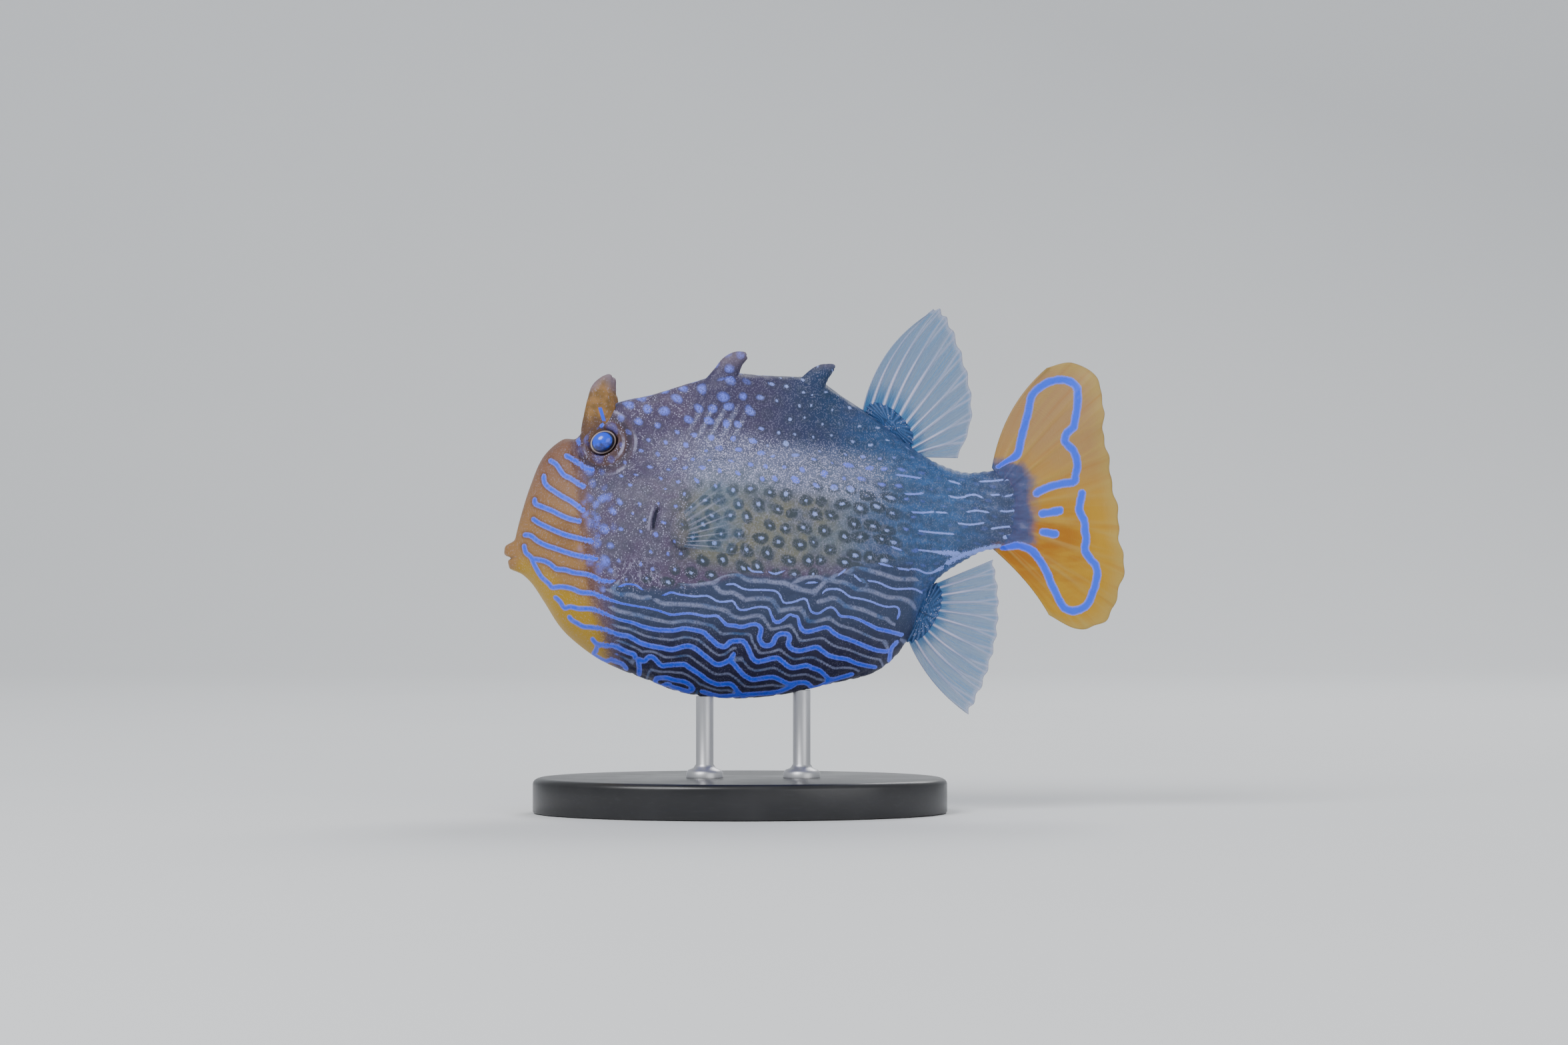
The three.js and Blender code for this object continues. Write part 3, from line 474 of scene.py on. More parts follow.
def mark_skin(mesh, height=None):
    """Stores where the lines, veins, plates and zones of the skin lie."""
    x, _, z = vertex_mm(mesh).T
    height = z if height is None else height
    below, above = line_field(x, z, SKIN_LINES)
    guide_below, guide_above = line_field(x, z, VEIN_GUIDES)
    edge = np.interp(z, *SNOUT_EDGE)
    low = fall(z, 40, 47)
    wide = np.maximum(fall(x, -34, -24), low * (1 - 0.2 * smooth(x, 10, 30)))
    rim = smooth(x, 43, 47) * fall(z - 0.2 * (x - 48), 59.6, 61.2)
    store(mesh, "line", [*wound(nearest(below, above), LINE_REACH), 0.22 + 0.36 * wide + 0.36 * rim])
    in_lines = within(x, edge - 1, edge + 5, 37, 42)
    belly_edge = np.interp(x, *BELLY_EDGE)
    in_lines *= fall(z, belly_edge - 2.2, belly_edge + 2.2)
    vein_below, vein_above = np.minimum(below, guide_below), np.minimum(above, guide_above)
    narrow = fall(vein_below + vein_above, 7, 10)
    vein = smooth(in_lines, 0.1, 0.6) * narrow * (0.30 + 0.24 * (1 - low))
    store(mesh, "vein", [*wound((vein_below - vein_above) / 2, VEIN_REACH), vein])
    store(mesh, "plate", [*plate_place(x, height), in_lines])
    snout = fall(x, edge - 4.5, edge + 3.0)
    chin = fall(z + 0.6 * (x + 45), 49, 62) * snout
    lips_zone = fall(x, -52.4, -48.5) * smooth(z, 53.5, 56.5)
    chin = chin * (1 - 0.85 * lips_zone)
    store(mesh, "zone", [snout, chin, smooth(x, 32, 44)])
    streak = smooth(np.cos(2 * np.pi * (x + 3 - 0.5 * (z - 92)) / 2.7), 0.0, 0.8)
    streak *= within(z, 81, 84, 90, 93) * within(x, -13, -9, -1, 3)
    slanted = z + 0.16 * np.maximum(x, 0)
    lit = within(slanted, 72, 78, 82, 88)
    lit = np.maximum(lit * within(x, -24, -4, 27, 38), 0.9 * streak)
    cheek = within(x, -46, -40, -14, -6) * smooth(z, 47, 53)
    ring_start = -12.5 - 14 * fall(z, 51, 57)
    rings = within(z, 47.5, 50.5, 71, 77) * (1 - 0.8 * smooth(x, 31, 41))
    rings = rings * smooth(x, ring_start - 4.5, ring_start + 4.5)
    store(mesh, "patch", [lit, cheek, rings])


# Material building
class Value:
    """A node's output, which takes part in sums as a number does."""

    def __init__(self, made, socket):
        self.made = made
        self.socket = socket

    def __abs__(self):
        return self.made.math("ABSOLUTE", self)

    def step(self, low, high, to_low=0, to_high=1):
        """Eased step from one value to another between low and high."""
        inputs = dict(enumerate((self, low, high, to_low, to_high)))
        return self.made.node("MapRange", inputs, interpolation_type="SMOOTHSTEP")

    def fall(self, low, high):
        """Eased step from 1 at low to 0 at high."""
        return 1 - self.step(low, high)

    def mix(self, share, other):
        return self.made.mix(share, self, other)


def sum_of(operation, turned):
    """A method that joins a value and another in a math node, in either order."""
    def method(self, other):
        pair = (other, self) if turned else (self, other)
        return self.made.math(operation, *pair)

    return method


for sign, operation in (("add", "ADD"), ("sub", "SUBTRACT"), ("mul", "MULTIPLY"), ("truediv", "DIVIDE")):
    setattr(Value, f"__{sign}__", sum_of(operation, False))
    setattr(Value, f"__r{sign}__", sum_of(operation, True))


class Finish:
    """A material whose nodes are added by short calls."""

    def __init__(self, name):
        self.material = bpy.data.materials.new(name)
        self.material.use_nodes = True
        self.tree = self.material.node_tree
        self.tree.nodes.clear()
        output = self.tree.nodes.new("ShaderNodeOutputMaterial")
        self.shader = self.tree.nodes.new("ShaderNodeBsdfPrincipled")
        self.tree.links.new(self.shader.outputs[0], output.inputs[0])

    def put(self, target, value):
        """Gives an input a value, a colour or a link."""
        if isinstance(value, Value):
            self.tree.links.new(value.socket, target)
        elif target.type == "RGBA":
            target.default_value = (*value, 1)
        else:
            target.default_value = value

    def node(self, kind, inputs, output=0, **settings):
        """Adds a node with its settings and inputs, and gives one of its outputs."""
        node = self.tree.nodes.new("ShaderNode" + kind)
        for name, value in settings.items():
            setattr(node, name, value)
        for key, value in inputs.items():
            self.put(node.inputs[key], value)
        return Value(self, node.outputs[output])

    def math(self, operation, *values):
        return self.node("Math", dict(enumerate(values)), operation=operation)

    def most(self, a, b):
        return self.math("MAXIMUM", a, b)

    def hypot(self, a, b):
        return self.math("SQRT", a * a + b * b)

    def vector(self, operation, a, b):
        return self.node("VectorMath", {0: a, 1: b}, operation=operation)

    def mm(self):
        """Object coordinates in millimetres."""
        place = self.node("TexCoord", {}, "Object")
        return self.node("VectorMath", {0: place, "Scale": 1 / MM}, operation="SCALE")

    def parts(self, vector):
        """The three numbers of a vector or colour."""
        split = self.tree.nodes.new("ShaderNodeSeparateXYZ")
        self.put(split.inputs[0], vector)
        return [Value(self, socket) for socket in split.outputs]

    def joined(self, x, y, z):
        return self.node("CombineXYZ", {0: x, 1: y, 2: z})

    def held(self, name):
        """Three numbers that the mesh holds under a name."""
        return self.node("Attribute", {}, "Vector", attribute_name=name)

    def noise(self, vector, size, detail=2, rough=0.5):
        """Noise from 0 to 1 whose blobs are about this many millimetres across."""
        inputs = {"Vector": vector, "Scale": 1 / size, "Detail": detail, "Roughness": rough}
        return self.node("TexNoise", inputs)

    def cells(self, vector, size):
        """Distance to the nearest of scattered points about this many millimetres apart."""
        return self.node("TexVoronoi", {"Vector": vector, "Scale": 1 / size}, "Distance")

    def random(self, vector):
        return self.node("TexWhiteNoise", {"Vector": vector}, "Color", noise_dimensions="3D")

    def mix(self, share, a, b):
        return self.node("Mix", {0: share, 6: a, 7: b}, 2, data_type="RGBA")

    def bump(self, height, distance, strength):
        """Relief of the given depth in millimetres."""
        return self.node("Bump", {"Height": height, "Distance": distance * MM, "Strength": strength})

    def finish(self, **sockets):
        """Sets the shader's inputs, named in small letters."""
        for name, value in sockets.items():
            self.put(self.shader.inputs[name.replace("_", " ").title().replace("Ior", "IOR")], value)


def stored_line(made, name, reach):
    """Distance in millimetres to the nearest stored line, and its half width there."""
    turn_cos, turn_sin, half = made.parts(made.held(name))
    angle = made.math("ARCTAN2", turn_sin, turn_cos)
    return abs(angle) * (reach / math.pi), half


def plate_middle(made, a, b, shift, wobble):
    """Offset from the nearest plate's middle on one half of the lattice, and that plate's random colour."""
    mids = []
    for value, width in ((a, PLATE_WIDTH), (b, 2 * PLATE_ROW)):
        count = made.math("ROUND", value * (1 / width) - shift)
        mids.append((count + shift) * width)
    luck = made.random(made.joined(mids[0], mids[1], shift))
    luck_x, luck_y, _ = made.parts(luck)
    da = a - mids[0] - (luck_x - 0.5) * wobble
    db = b - mids[1] - (luck_y - 0.5) * wobble
    return da, db, luck


def spot_field(made, a, b, wobble, stretch):
    """Distance to the nearest spot's middle, and the spot's random numbers."""
    found = []
    for shift in (0.0, 0.5):
        da, db, luck = plate_middle(made, a, b, shift, wobble)
        found.append((made.hypot(da / stretch, db), luck))
    nearer = made.math("LESS_THAN", found[1][0], found[0][0])
    distance = made.math("MINIMUM", found[0][0], found[1][0])
    return distance, made.parts(made.mix(nearer, found[0][1], found[1][1]))


def tail_tone(made, mm, colours):
    """Tan above to amber below, deepest in the lower middle."""
    x, _, z = made.parts(mm)
    soft = made.noise(mm, 6, 3)
    cloud = made.noise(made.vector("MULTIPLY", mm, (0.5, 1, 1.6)), 5, 3)
    upper = (z + (soft - 0.5) * 12).step(64, 90)
    tone = made.mix(upper, colours.tail_low, colours.tail_high)
    low = abs(z - 60).fall(4, 14)
    ahead = x.fall(74, 82)
    return tone.mix(low * ahead * cloud.step(0.3, 0.6), colours.tail_deep)


def stalk_share(made, mm):
    """Where the grey of the stalk reaches on to the tail fin."""
    x, _, z = made.parts(mm)
    soft = made.noise(mm, 2.4, 3)
    wander = (soft - 0.5) * 3.4
    corner = z.step(75, 81) * 3.6
    ahead = (x + (wander + corner)).fall(64.8, 68.4)
    middle = (abs(z - 70.2) + wander).fall(8.6, 10.6)
    stalk = abs(z - 69.2).fall(9.6, 10.8)
    return ahead * made.most(middle, stalk * x.fall(56.5, 59))


def stalk_tone(made, mm, colours):
    """Blue grey with fine darker and paler streaks along it."""
    streaks = made.noise(made.vector("MULTIPLY", mm, (0.35, 1, 1)), 1.3, 3)
    tone = made.mix(streaks.step(0.34, 0.6, 0.55, 1), colours.slate, colours.stalk)
    tone = tone.mix(made.parts(mm)[0].step(46, 60, 0, 0.5), colours.back)
    return tone.mix(streaks.step(0.58, 0.75) * 0.3, colours.vein)


def skin_finish(made, mm, colours):
    """Living skin of the boxfish: ground, plates with ringed spots, snout and belly lines."""
    x, _, z = made.parts(mm)
    soft = made.noise(mm, 5, 3)
    grain = made.noise(mm, 0.42, 2, 0.6)
    patches = made.noise(mm, 14, 2)
    speck = made.cells(mm, 0.5).fall(0.18, 0.36)
    snout, chin, stalk = made.parts(made.held("zone"))
    a, b, in_lines = made.parts(made.held("plate"))
    lit, cheek, rings = made.parts(made.held("patch"))
    ragged = (soft - 0.5) * 0.5 + (grain - 0.5) * 0.5
    fringe = snout * (1 - snout) * 4
    snout = (snout + ragged * 1.3).step(0.12, 0.88)
    chin = (chin + ragged).step(0.15, 0.85)
    in_lines = (in_lines + ragged * 0.7).step(0.2, 0.8)

    # Ground: violet back, tan flank, blue grey rear
    wavering = (soft - 0.5) * 6
    back = (z + wavering).step(73, 84)
    rear_back = (x + wavering).step(2, 22)
    flank = made.mix((z + wavering).step(53, 61), colours.cheek, colours.flank)
    ground = made.mix(back, flank, made.mix(rear_back, colours.back, colours.slate))
    rear = (x + (patches - 0.5) * 14).step(16, 42)
    ground = ground.mix(rear * 0.9, stalk_tone(made, mm, colours))
    ground = ground.mix(cheek * soft.step(0.3, 0.6, 0.95, 0.7), colours.cheek)
    ground = ground.mix(patches.step(0.45, 0.7) * 0.4, colours.back)
    tan = abs(z - 64).fall(4, 11) * rings * x.fall(14, 28)
    ground = ground.mix(tan * soft.step(0.3, 0.6) * 0.85, colours.tan)
    ground = ground.mix(lit * soft.step(0.25, 0.6, 0.4, 1) * 0.5, colours.vein)
    sand = made.noise(mm, 0.36, 1).step(0.53, 0.66) * (lit * 0.6 + 0.12)
    ground = ground.mix(sand, colours.speck)

    # Lids and the raised ring round the eye
    eye_gap = made.hypot(x - EYE[0], z - EYE[1])
    lid = (eye_gap + ragged * 1.5).fall(5, 8)
    ground = ground.mix(lid * 0.8, colours.lid)
    for radius, share in ((4.55, 0.55), (7.3, 0.4)):
        arc = abs(eye_gap - radius).fall(0.12, 0.5)
        ground = ground.mix(arc * soft.step(0.42, 0.6) * share, colours.speck)
    # Painted shade: a dark ring in the groove between the raised folds of the lids
    groove_shade = abs(eye_gap - 5.9).fall(0.3, 0.9)
    ground = ground.mix(groove_shade * 0.5, colours.dark)

    # Spots, one to a plate, ringed on the flank
    drift_a = (made.noise(mm, 7, 1) - 0.5) * 3
    drift_b = (made.noise(made.vector("ADD", mm, (31, 7, 3)), 7, 1) - 0.5) * 2.4
    stretch = 1.08 + x.step(18, 38) * 0.9
    distance, luck = spot_field(made, a + drift_a, b + drift_b, 1.4, stretch)
    distance = distance + (grain - 0.5) * 0.9
    outside = (1 - in_lines) * (1 - snout) * (1 - lid * 0.7)
    ring = distance.fall(1.05, 1.65) * (rings * 0.85)
    ring = ring + distance.fall(0.9, 1.8) * (1 - rings) * 0.22
    ground = ground.mix(ring * outside, colours.ring)
    upper_front = z.step(83, 92) * x.fall(-1, 10)
    by_snout = cheek * x.fall(-31, -25)
    radius = 0.24 + luck[2] * 0.2 + upper_front * 0.6
    radius = radius * (x.step(4, 20) * back).step(0, 1, 1, 0.72)
    radius = radius + (by_snout * luck[0] * 1.1 + lit * luck[1] * 0.5)
    powdery = made.most(upper_front * 0.6, by_snout)
    softness = 0.14 + powdery * 0.5
    dot = distance.fall(radius - softness, radius + softness)
    dot = dot * luck[0].step(0.05, 0.1) * (1 - stalk * 0.85)
    dust = grain.step(0.3, 0.6, 0.45 - powdery * 0.4, 1)
    far_back = x.step(0, 12) * z.step(78, 84)
    pale = made.mix(made.most(rings.step(0.3, 0.9), far_back), colours.line_pale, colours.dot)
    ground = ground.mix(dot * outside * dust, pale)

    # Belly bands, pale veins between them, worm-like threads and specks
    band = made.mix(z.step(36, 47), colours.dark, colours.band)
    ground = ground.mix(in_lines * 0.94, band)
    gap, half = stored_line(made, "vein", VEIN_REACH)
    vein = (gap + (grain - 0.5) * 0.5).fall(half * 0.4, half * 1.3 + 0.01) * half.step(0.02, 0.2)
    vein_tone = made.mix(soft.step(0.45, 0.75), colours.vein, colours.stalk)
    ground = ground.mix(vein * grain.step(0.3, 0.6, 0.25, 0.85), vein_tone)
    thread = abs(made.noise(mm, 1.5, 1) - 0.5)
    thread = thread.fall(0.012, 0.05) * made.most(cheek, rings * 0.5)
    thread = thread * z.fall(66, 76) * outside
    ground = ground.mix(thread * patches.step(0.4, 0.6) * 0.22, colours.speck)
    dense = 0.14 + made.most(lit, cheek * 0.45)
    dense = dense * made.noise(mm, 2.2, 1).step(0.35, 0.62)
    dense = made.most(dense, lit * 0.55)
    ground = ground.mix(speck * dense, colours.speck)

    # Gill slit: painted shade in its carved groove, and a painted highlight along the raised lip in front of
    # it
    gill_x, gill_z = gill_place(x, z)
    tall = abs(gill_z).fall(2.2, 3)
    thin = 0.4 - gill_z * gill_z * 0.05
    slit = (abs(gill_x) - thin).fall(-0.15, 0.12)
    edge = abs(gill_x + 0.95).fall(0.1, 0.45)
    ground = ground.mix(edge * tall * 0.3, colours.speck)
    ground = ground.mix(slit * tall * 0.9, colours.dark)

    # Face
    face = made.mix((z + wavering).step(62, 82), colours.snout, colours.snout_high)
    face = face.mix(patches.step(0.4, 0.7) * 0.4, colours.snout_dark)
    behind = fringe.step(0.05, 0.7) * (1 - chin * 0.8)
    face = face.mix(chin, colours.chin)
    face = face.mix(behind * soft.step(0.3, 0.6, 0.5, 0.95), colours.cheek_edge)
    face = face.mix(grain.step(0.52, 0.7) * 0.16, colours.speck)
    ground = ground.mix(snout * (1 - lid * 0.6), face)
    dabs = made.cells(mm, 3.3) + (grain - 0.5) * 0.9
    dabs = dabs.fall(0.16, 0.42) * x.fall(-30.5, -26.5)
    dabs = dabs * z.step(54, 58) * z.fall(72, 76)
    dabs = dabs * x.step(-37, -34) * (1 - lid * 0.8)
    ground = ground.mix(dabs * grain.step(0.35, 0.6, 0.3, 0.9), colours.line_pale)
    gap, half = stored_line(made, "line", LINE_REACH)
    rim = x.step(44, 47) * z.fall(60.5, 61.5)
    rough_edge = 0.34 + (fringe * 1.3 + rim * 1.6)
    gap = gap + (grain - 0.5) * rough_edge
    shadow = gap.fall(half, half * 2.3)
    ground = ground.mix(shadow * snout * (1 - chin) * 0.6, colours.snout_dark)
    tips = (z + (grain - 0.5) * 2).step(99, 103)
    ground = ground.mix(tips * 0.5, colours.horn_tip)
    line = gap.fall(half * 0.78, half * 1.22)
    core = gap.fall(half * 0.3, half * 0.95)
    core = core * made.noise(mm, 0.8, 2).step(0.3, 0.6, 0.6, 1)
    line_colour = made.mix(core, colours.line_pale, colours.line)
    thin_line = x.step(-18, -6) * z.step(42, 49)
    line_colour = line_colour.mix(made.most(stalk * 0.8, thin_line * 0.55), colours.dot)
    powder = grain.step(0.2, 0.5, 0.55, 1)
    ground = ground.mix(line * powder, line_colour)
    at_tail = x.step(56, 58) * (1 - stalk_share(made, mm)) * (1 - line)
    ground = ground.mix(at_tail, tail_tone(made, mm, colours))

    relief = grain * 0.6 + line * 0.4 + speck * dense * 0.6
    made.finish(base_color=ground, roughness=grain.step(0.3, 0.7, 0.42, 0.6),
                normal=made.bump(relief, 0.16, 0.75), specular_ior_level=0.3)


def tail_finish(made, mm, colours):
    """Amber tail with its two blue loops, grey at the root."""
    u, v, ray = made.parts(made.held("span"))
    grain = made.noise(mm, 0.4, 2, 0.6)
    ground = tail_tone(made, mm, colours)
    ground = ground.mix(v.step(0.84, 1, 0, 0.6), colours.tail_edge)
    ground = ground.mix(ray * v.step(0.1, 0.5, 0.45, 0.25), colours.tail_edge)
    fan = made.noise(made.joined(u * 46, v * 1.2, 0), 1, 3)
    ground = ground.mix(fan.step(0.5, 0.7) * 0.28, colours.tail_edge)
    ground = ground.mix(fan.fall(0.3, 0.48) * 0.3, colours.tail_deep)
    ground = ground.mix(stalk_share(made, mm), stalk_tone(made, mm, colours))
    gap, half = stored_line(made, "line", TAIL_LINE_REACH)
    gap = gap + (grain - 0.5) * 0.36 + (made.noise(mm, 2.2, 1) - 0.5) * 0.5
    line = gap.fall(half * 0.86, half * 1.12)
    core = gap.fall(half * 0.5, half)
    ground = ground.mix(line, made.mix(core, colours.line_pale, colours.line))
    relief = grain * 0.4 + made.noise(made.joined(v * 150, 0, 0), 1.5, 0)
    made.finish(base_color=ground, roughness=0.5, normal=made.bump(relief, 0.1, 0.6),
                specular_ior_level=0.3, subsurface_weight=0.05)


def fin_finish(made, mm, colours, web=0.46, rib=0.8):
    """Glassy fin: clear membrane, pale jointed rays, whitish tips."""
    u, v, ray = made.parts(made.held("span"))
    grain = made.noise(mm, 0.5, 2)
    streaks = made.noise(made.joined(u * 90, v * 1.6, 0), 1, 3)
    joints = made.math("FRACT", v * 38).step(0, 0.25)
    ray_share = ray * (0.8 + joints * 0.2) * streaks.step(0.3, 0.55, 0.5, 1)
    colour = made.mix(streaks.step(0.35, 0.7, 0, 0.5), colours.fin, colours.fin_pale)
    crest = ray_share * v.step(0.25, 0.75, 1, 0.5)
    colour = colour.mix(crest, colours.fin_ray)
    colour = colour.mix(v.step(0.93, 1, 0, 0.4), colours.fin_ray)
    near_root = v.fall(0, 0.3)
    cover = web + streaks.step(0.4, 0.7) * (web * 0.35)
    fade_from = u.step(0.3, 0.6, 0.35, 0.15)
    cover = cover + ray_share * v.step(fade_from, 0.85, rib, rib * 0.12)
    cover = made.math("MINIMUM", cover + near_root * web, 1)
    relief = joints * ray * 0.6 + grain * 0.3
    made.finish(base_color=colour, roughness=0.3, alpha=cover,
                normal=made.bump(relief, 0.08, 0.5), specular_ior_level=0.35)


def side_fin_finish(made, mm, colours):
    fin_finish(made, mm, colours, web=0.05, rib=0.26)


def root_finish(made, mm, colours):
    """Fleshy root of a clear fin, with painted highlights on the crests of its folds and painted shade in
    their troughs.
    """
    fold, _, _ = made.parts(made.held("fold"))
    grain = made.noise(mm, 0.4, 2, 0.6)
    soft = made.noise(mm, 2.5, 2)
    fold = fold + (soft - 0.5) * 1.2
    # Painted light on the folds: darker slate in the troughs, paler on the crests
    tone = made.mix(fold.step(-0.9, 0.4, 0.2, 0.8), colours.slate, colours.stalk)
    tone = tone.mix(fold.step(0.35, 1) * 0.3, colours.vein)
    speck = made.cells(mm, 0.5).fall(0.16, 0.34)
    tone = tone.mix(speck * soft.step(0.4, 0.65) * 0.6, colours.speck)
    made.finish(base_color=tone, roughness=0.5, normal=made.bump(grain, 0.12, 0.7),
                specular_ior_level=0.3)


def horn_finish(made, mm, colours):
    """Ochre horn with a pale violet grey edge and tip, and a short blue mark."""
    x, _, z = made.parts(mm)
    grain = made.noise(mm, 0.45, 2, 0.6)
    soft = made.noise(mm, 2.2, 3)
    wavering = (soft - 0.5) * 3
    tone = made.mix(soft.step(0.3, 0.7), colours.horn, colours.snout)
    tip = (z + abs(x + 30.6) * 0.9 + wavering).step(96, 99.5)
    tone = tone.mix(tip * 0.85, colours.horn_tip)
    root = (z + wavering).fall(87, 90.5)
    tone = tone.mix(root * 0.8, colours.lid)
    tone = tone.mix(grain.step(0.56, 0.75) * 0.25, colours.speck)
    lean = x + (z - 90) * 0.3
    across = abs(lean + 30.8)
    mark = across.fall(0.28, 0.5) * z.step(88.4, 88.8) * z.fall(91.3, 91.8)
    tone = tone.mix(mark, colours.line)
    relief = grain * 0.5 + soft * 0.5
    made.finish(base_color=tone, roughness=0.5, normal=made.bump(relief, 0.16, 0.7),
                specular_ior_level=0.3)


def eye_finish(made, mm, colours):
    """Blue shining pupil in a dark iris with a thin pale ring, under a clear cornea."""
    x, _, z = made.parts(mm)
    along, across = eye_place(x, z)
    out = made.hypot(along, across)
    pupil_out = made.hypot((along + 0.03) * 1.06, across - 0.07)
    cloud = made.noise(mm, 0.8, 3)
    shade = cloud + across * 0.55 + along * 0.25
    pupil = made.mix(shade.step(0.15, 0.6), colours.pupil_dark, colours.pupil)
    tone = made.mix((pupil_out + (cloud - 0.5) * 0.1).step(0.66, 0.75), pupil, colours.eye_rim)
    ring = out.step(0.78, 0.81) * out.fall(0.86, 0.9)
    tone = tone.mix(ring, colours.eye_ring)
    tone = tone.mix(out.step(0.87, 0.93), colours.lid)
    made.finish(base_color=tone, roughness=0.25, coat_weight=0.7, coat_roughness=0.03)


def lacquer_finish(made, mm, colours):
    """Satin black base with faint dust and fine brush lines."""
    streaks = made.noise(made.vector("MULTIPLY", mm, (0.06, 1, 1)), 0.6, 3)
    cloud = made.noise(mm, 16, 3)
    tone = made.mix(cloud.step(0.4, 0.8) * 0.4, colours.base, colours.base_worn)
    tone = tone.mix(streaks.step(0.5, 0.8) * 0.2, colours.base_worn)
    rough = cloud.step(0.3, 0.7, 0.28, 0.4)
    made.finish(base_color=tone, roughness=rough, normal=made.bump(streaks, 0.03, 0.4),
                coat_weight=0.25, coat_roughness=0.2)


def steel_finish(made, mm, colours):
    """Turned steel with fine rings."""
    rings = made.noise(made.vector("MULTIPLY", mm, (0.05, 0.05, 1)), 0.16, 2)
    tone = made.mix(rings, colours.rod_dark, colours.rod)
    made.finish(base_color=tone, metallic=1, roughness=rings.step(0.3, 0.7, 0.2, 0.34),
                normal=made.bump(rings, 0.02, 0.5))


def stage_finish(made, mm, colours):
    """Pale matte floor and backdrop."""
    cloud = made.noise(mm, 90, 3)
    tone = made.mix(cloud, colours.floor, colours.floor_shade)
    made.finish(base_color=tone, roughness=0.85)


# Mesh helpers, with the distances within which corners merge, in millimetres
SKIN_MERGE = 0.004
FIN_MERGE = 0.001
ROD_MERGE = 0.002
SLIVER = 0.0005


def mesh_of(bm, name):
    mesh = bpy.data.meshes.new(name)
    bm.to_mesh(mesh)
    bm.free()
    return mesh


def place_corners(mesh, points):
    """Moves a mesh's corners to places in millimetres."""
    mesh.vertices.foreach_set("co", (points * MM).astype(np.float32).ravel())
    mesh.update()


def grid_mesh(name, columns, rows, place):
    """A sheet of columns by rows whose corners are put by a function of two shares from 0 to 1."""
    bm = bmesh.new()
    bmesh.ops.create_grid(bm, x_segments=columns, y_segments=rows, size=0.5)
    mesh = mesh_of(bm, name)
    u, v, _ = corners(mesh).T + 0.5
    place_corners(mesh, place(u, v))
    return mesh, u, v


def ball_mesh(name, columns, rows, lying=False):
    bm = bmesh.new()
    bmesh.ops.create_uvsphere(bm, u_segments=columns, v_segments=rows, radius=1)
    if lying:
        bmesh.ops.rotate(bm, verts=bm.verts, cent=(0, 0, 0), matrix=Matrix.Rotation(math.pi / 2, 3, "X"))
    return mesh_of(bm, name)


def tilted(points, tilt, x, y, z):
    """Points tilted in the side view and moved to a place."""
    c, s = math.cos(tilt), math.sin(tilt)
    ahead, across, up = points.T
    return np.stack([x + c * ahead + s * up, y + across, z - s * ahead + c * up], axis=1)


def weld(mesh, distance, slivers=False, holes=False):
    """Merges corners that lie together, mends slivers or holes and turns every face outwards."""
    bm = bmesh.new()
    bm.from_mesh(mesh)
    bmesh.ops.remove_doubles(bm, verts=bm.verts, dist=distance * MM)
    if slivers:
        bmesh.ops.dissolve_degenerate(bm, edges=bm.edges, dist=SLIVER * MM)
    if holes:
        bmesh.ops.holes_fill(bm, edges=[e for e in bm.edges if e.is_boundary], sides=0)
    bmesh.ops.recalc_face_normals(bm, faces=bm.faces)
    bm.to_mesh(mesh)
    bm.free()
    mesh.update()


def show(mesh, material, slot, *nodes):
    """Puts a finished mesh in the scene as a smooth piece that stands for its nodes."""
    piece = bpy.data.objects.new(mesh.name, mesh)
    bpy.context.scene.collection.objects.link(piece)
    mesh.shade_smooth()
    mesh.materials.append(material)
    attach(piece, "root")
    if nodes:
        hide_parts(*nodes)


# Share of the skin's sheet that closes the mouth, and its columns and rows
CAP_ROWS = 0.05
SKIN_GRID = (300, 300)
# Steps in which the girth is measured, and the one at its widest row
GIRTH_STEPS = 60
WIDEST_STEP = 33


def skin_place(column, row):
    """Shares along and round the body for a corner of the sheet: columns lie closer below, at the lines."""
    half = half_turn(column)
    spread = half + 0.055 * np.sin(np.pi * half) + 0.05 * np.sin(2 * np.pi * half)
    along = np.clip((row - CAP_ROWS) / (1 - CAP_ROWS), 0, 1)
    return along, np.where(column <= 0.5, spread / 2, 1 - spread / 2)


def skin_relief(points, out, height):
    """Depth of the skin's own relief at each point: lids, nostrils, gill, plates and lips."""
    x, _, z = points.T
    along, across = eye_place(x, z)
    radius = np.hypot(along, across)
    side = np.where(np.abs(out[:, 1]) > 0.35, 1.0, 0.0)
    lids = bell(radius - 1.22, 0.17) + 0.45 * bell(radius - 1.65, 0.14) + 0.5 * bell(radius - 2.25, 0.24)
    wrinkles = np.cos(22 * np.arctan2(across, along)) * bell(radius - 1.7, 0.5)
    relief = side * (lids + 0.08 * wrinkles - 2.6 * fall(radius, 0.78, 1.06))
    gill_x, gill_z = gill_place(x, z)
    relief -= 1.5 * bell(gill_x, 0.45) * fall(np.abs(gill_z), 2, 3)
    relief += 0.35 * bell(gill_x + 0.9, 0.6) * fall(np.abs(gill_z), 2, 3.6)
    for nostril_x, nostril_z, r in NOSTRILS:
        gap = np.hypot(x - nostril_x, z - nostril_z)
        relief += side * (0.4 * bell(gap - r * 1.5, 0.3) - 0.9 * bell(gap, r))
    seam = fall(plate_edge(*plate_place(x, height)), 0, 0.75)
    armour = within(x, -33, -24, 34, 42)
    relief += armour * (0.12 - 0.22 * seam)
    folds = within(x, 38, 44, 56, 62)
    return relief + 0.1 * folds * np.sin((x - 0.4 * np.abs(z - 68)) * 3.2)


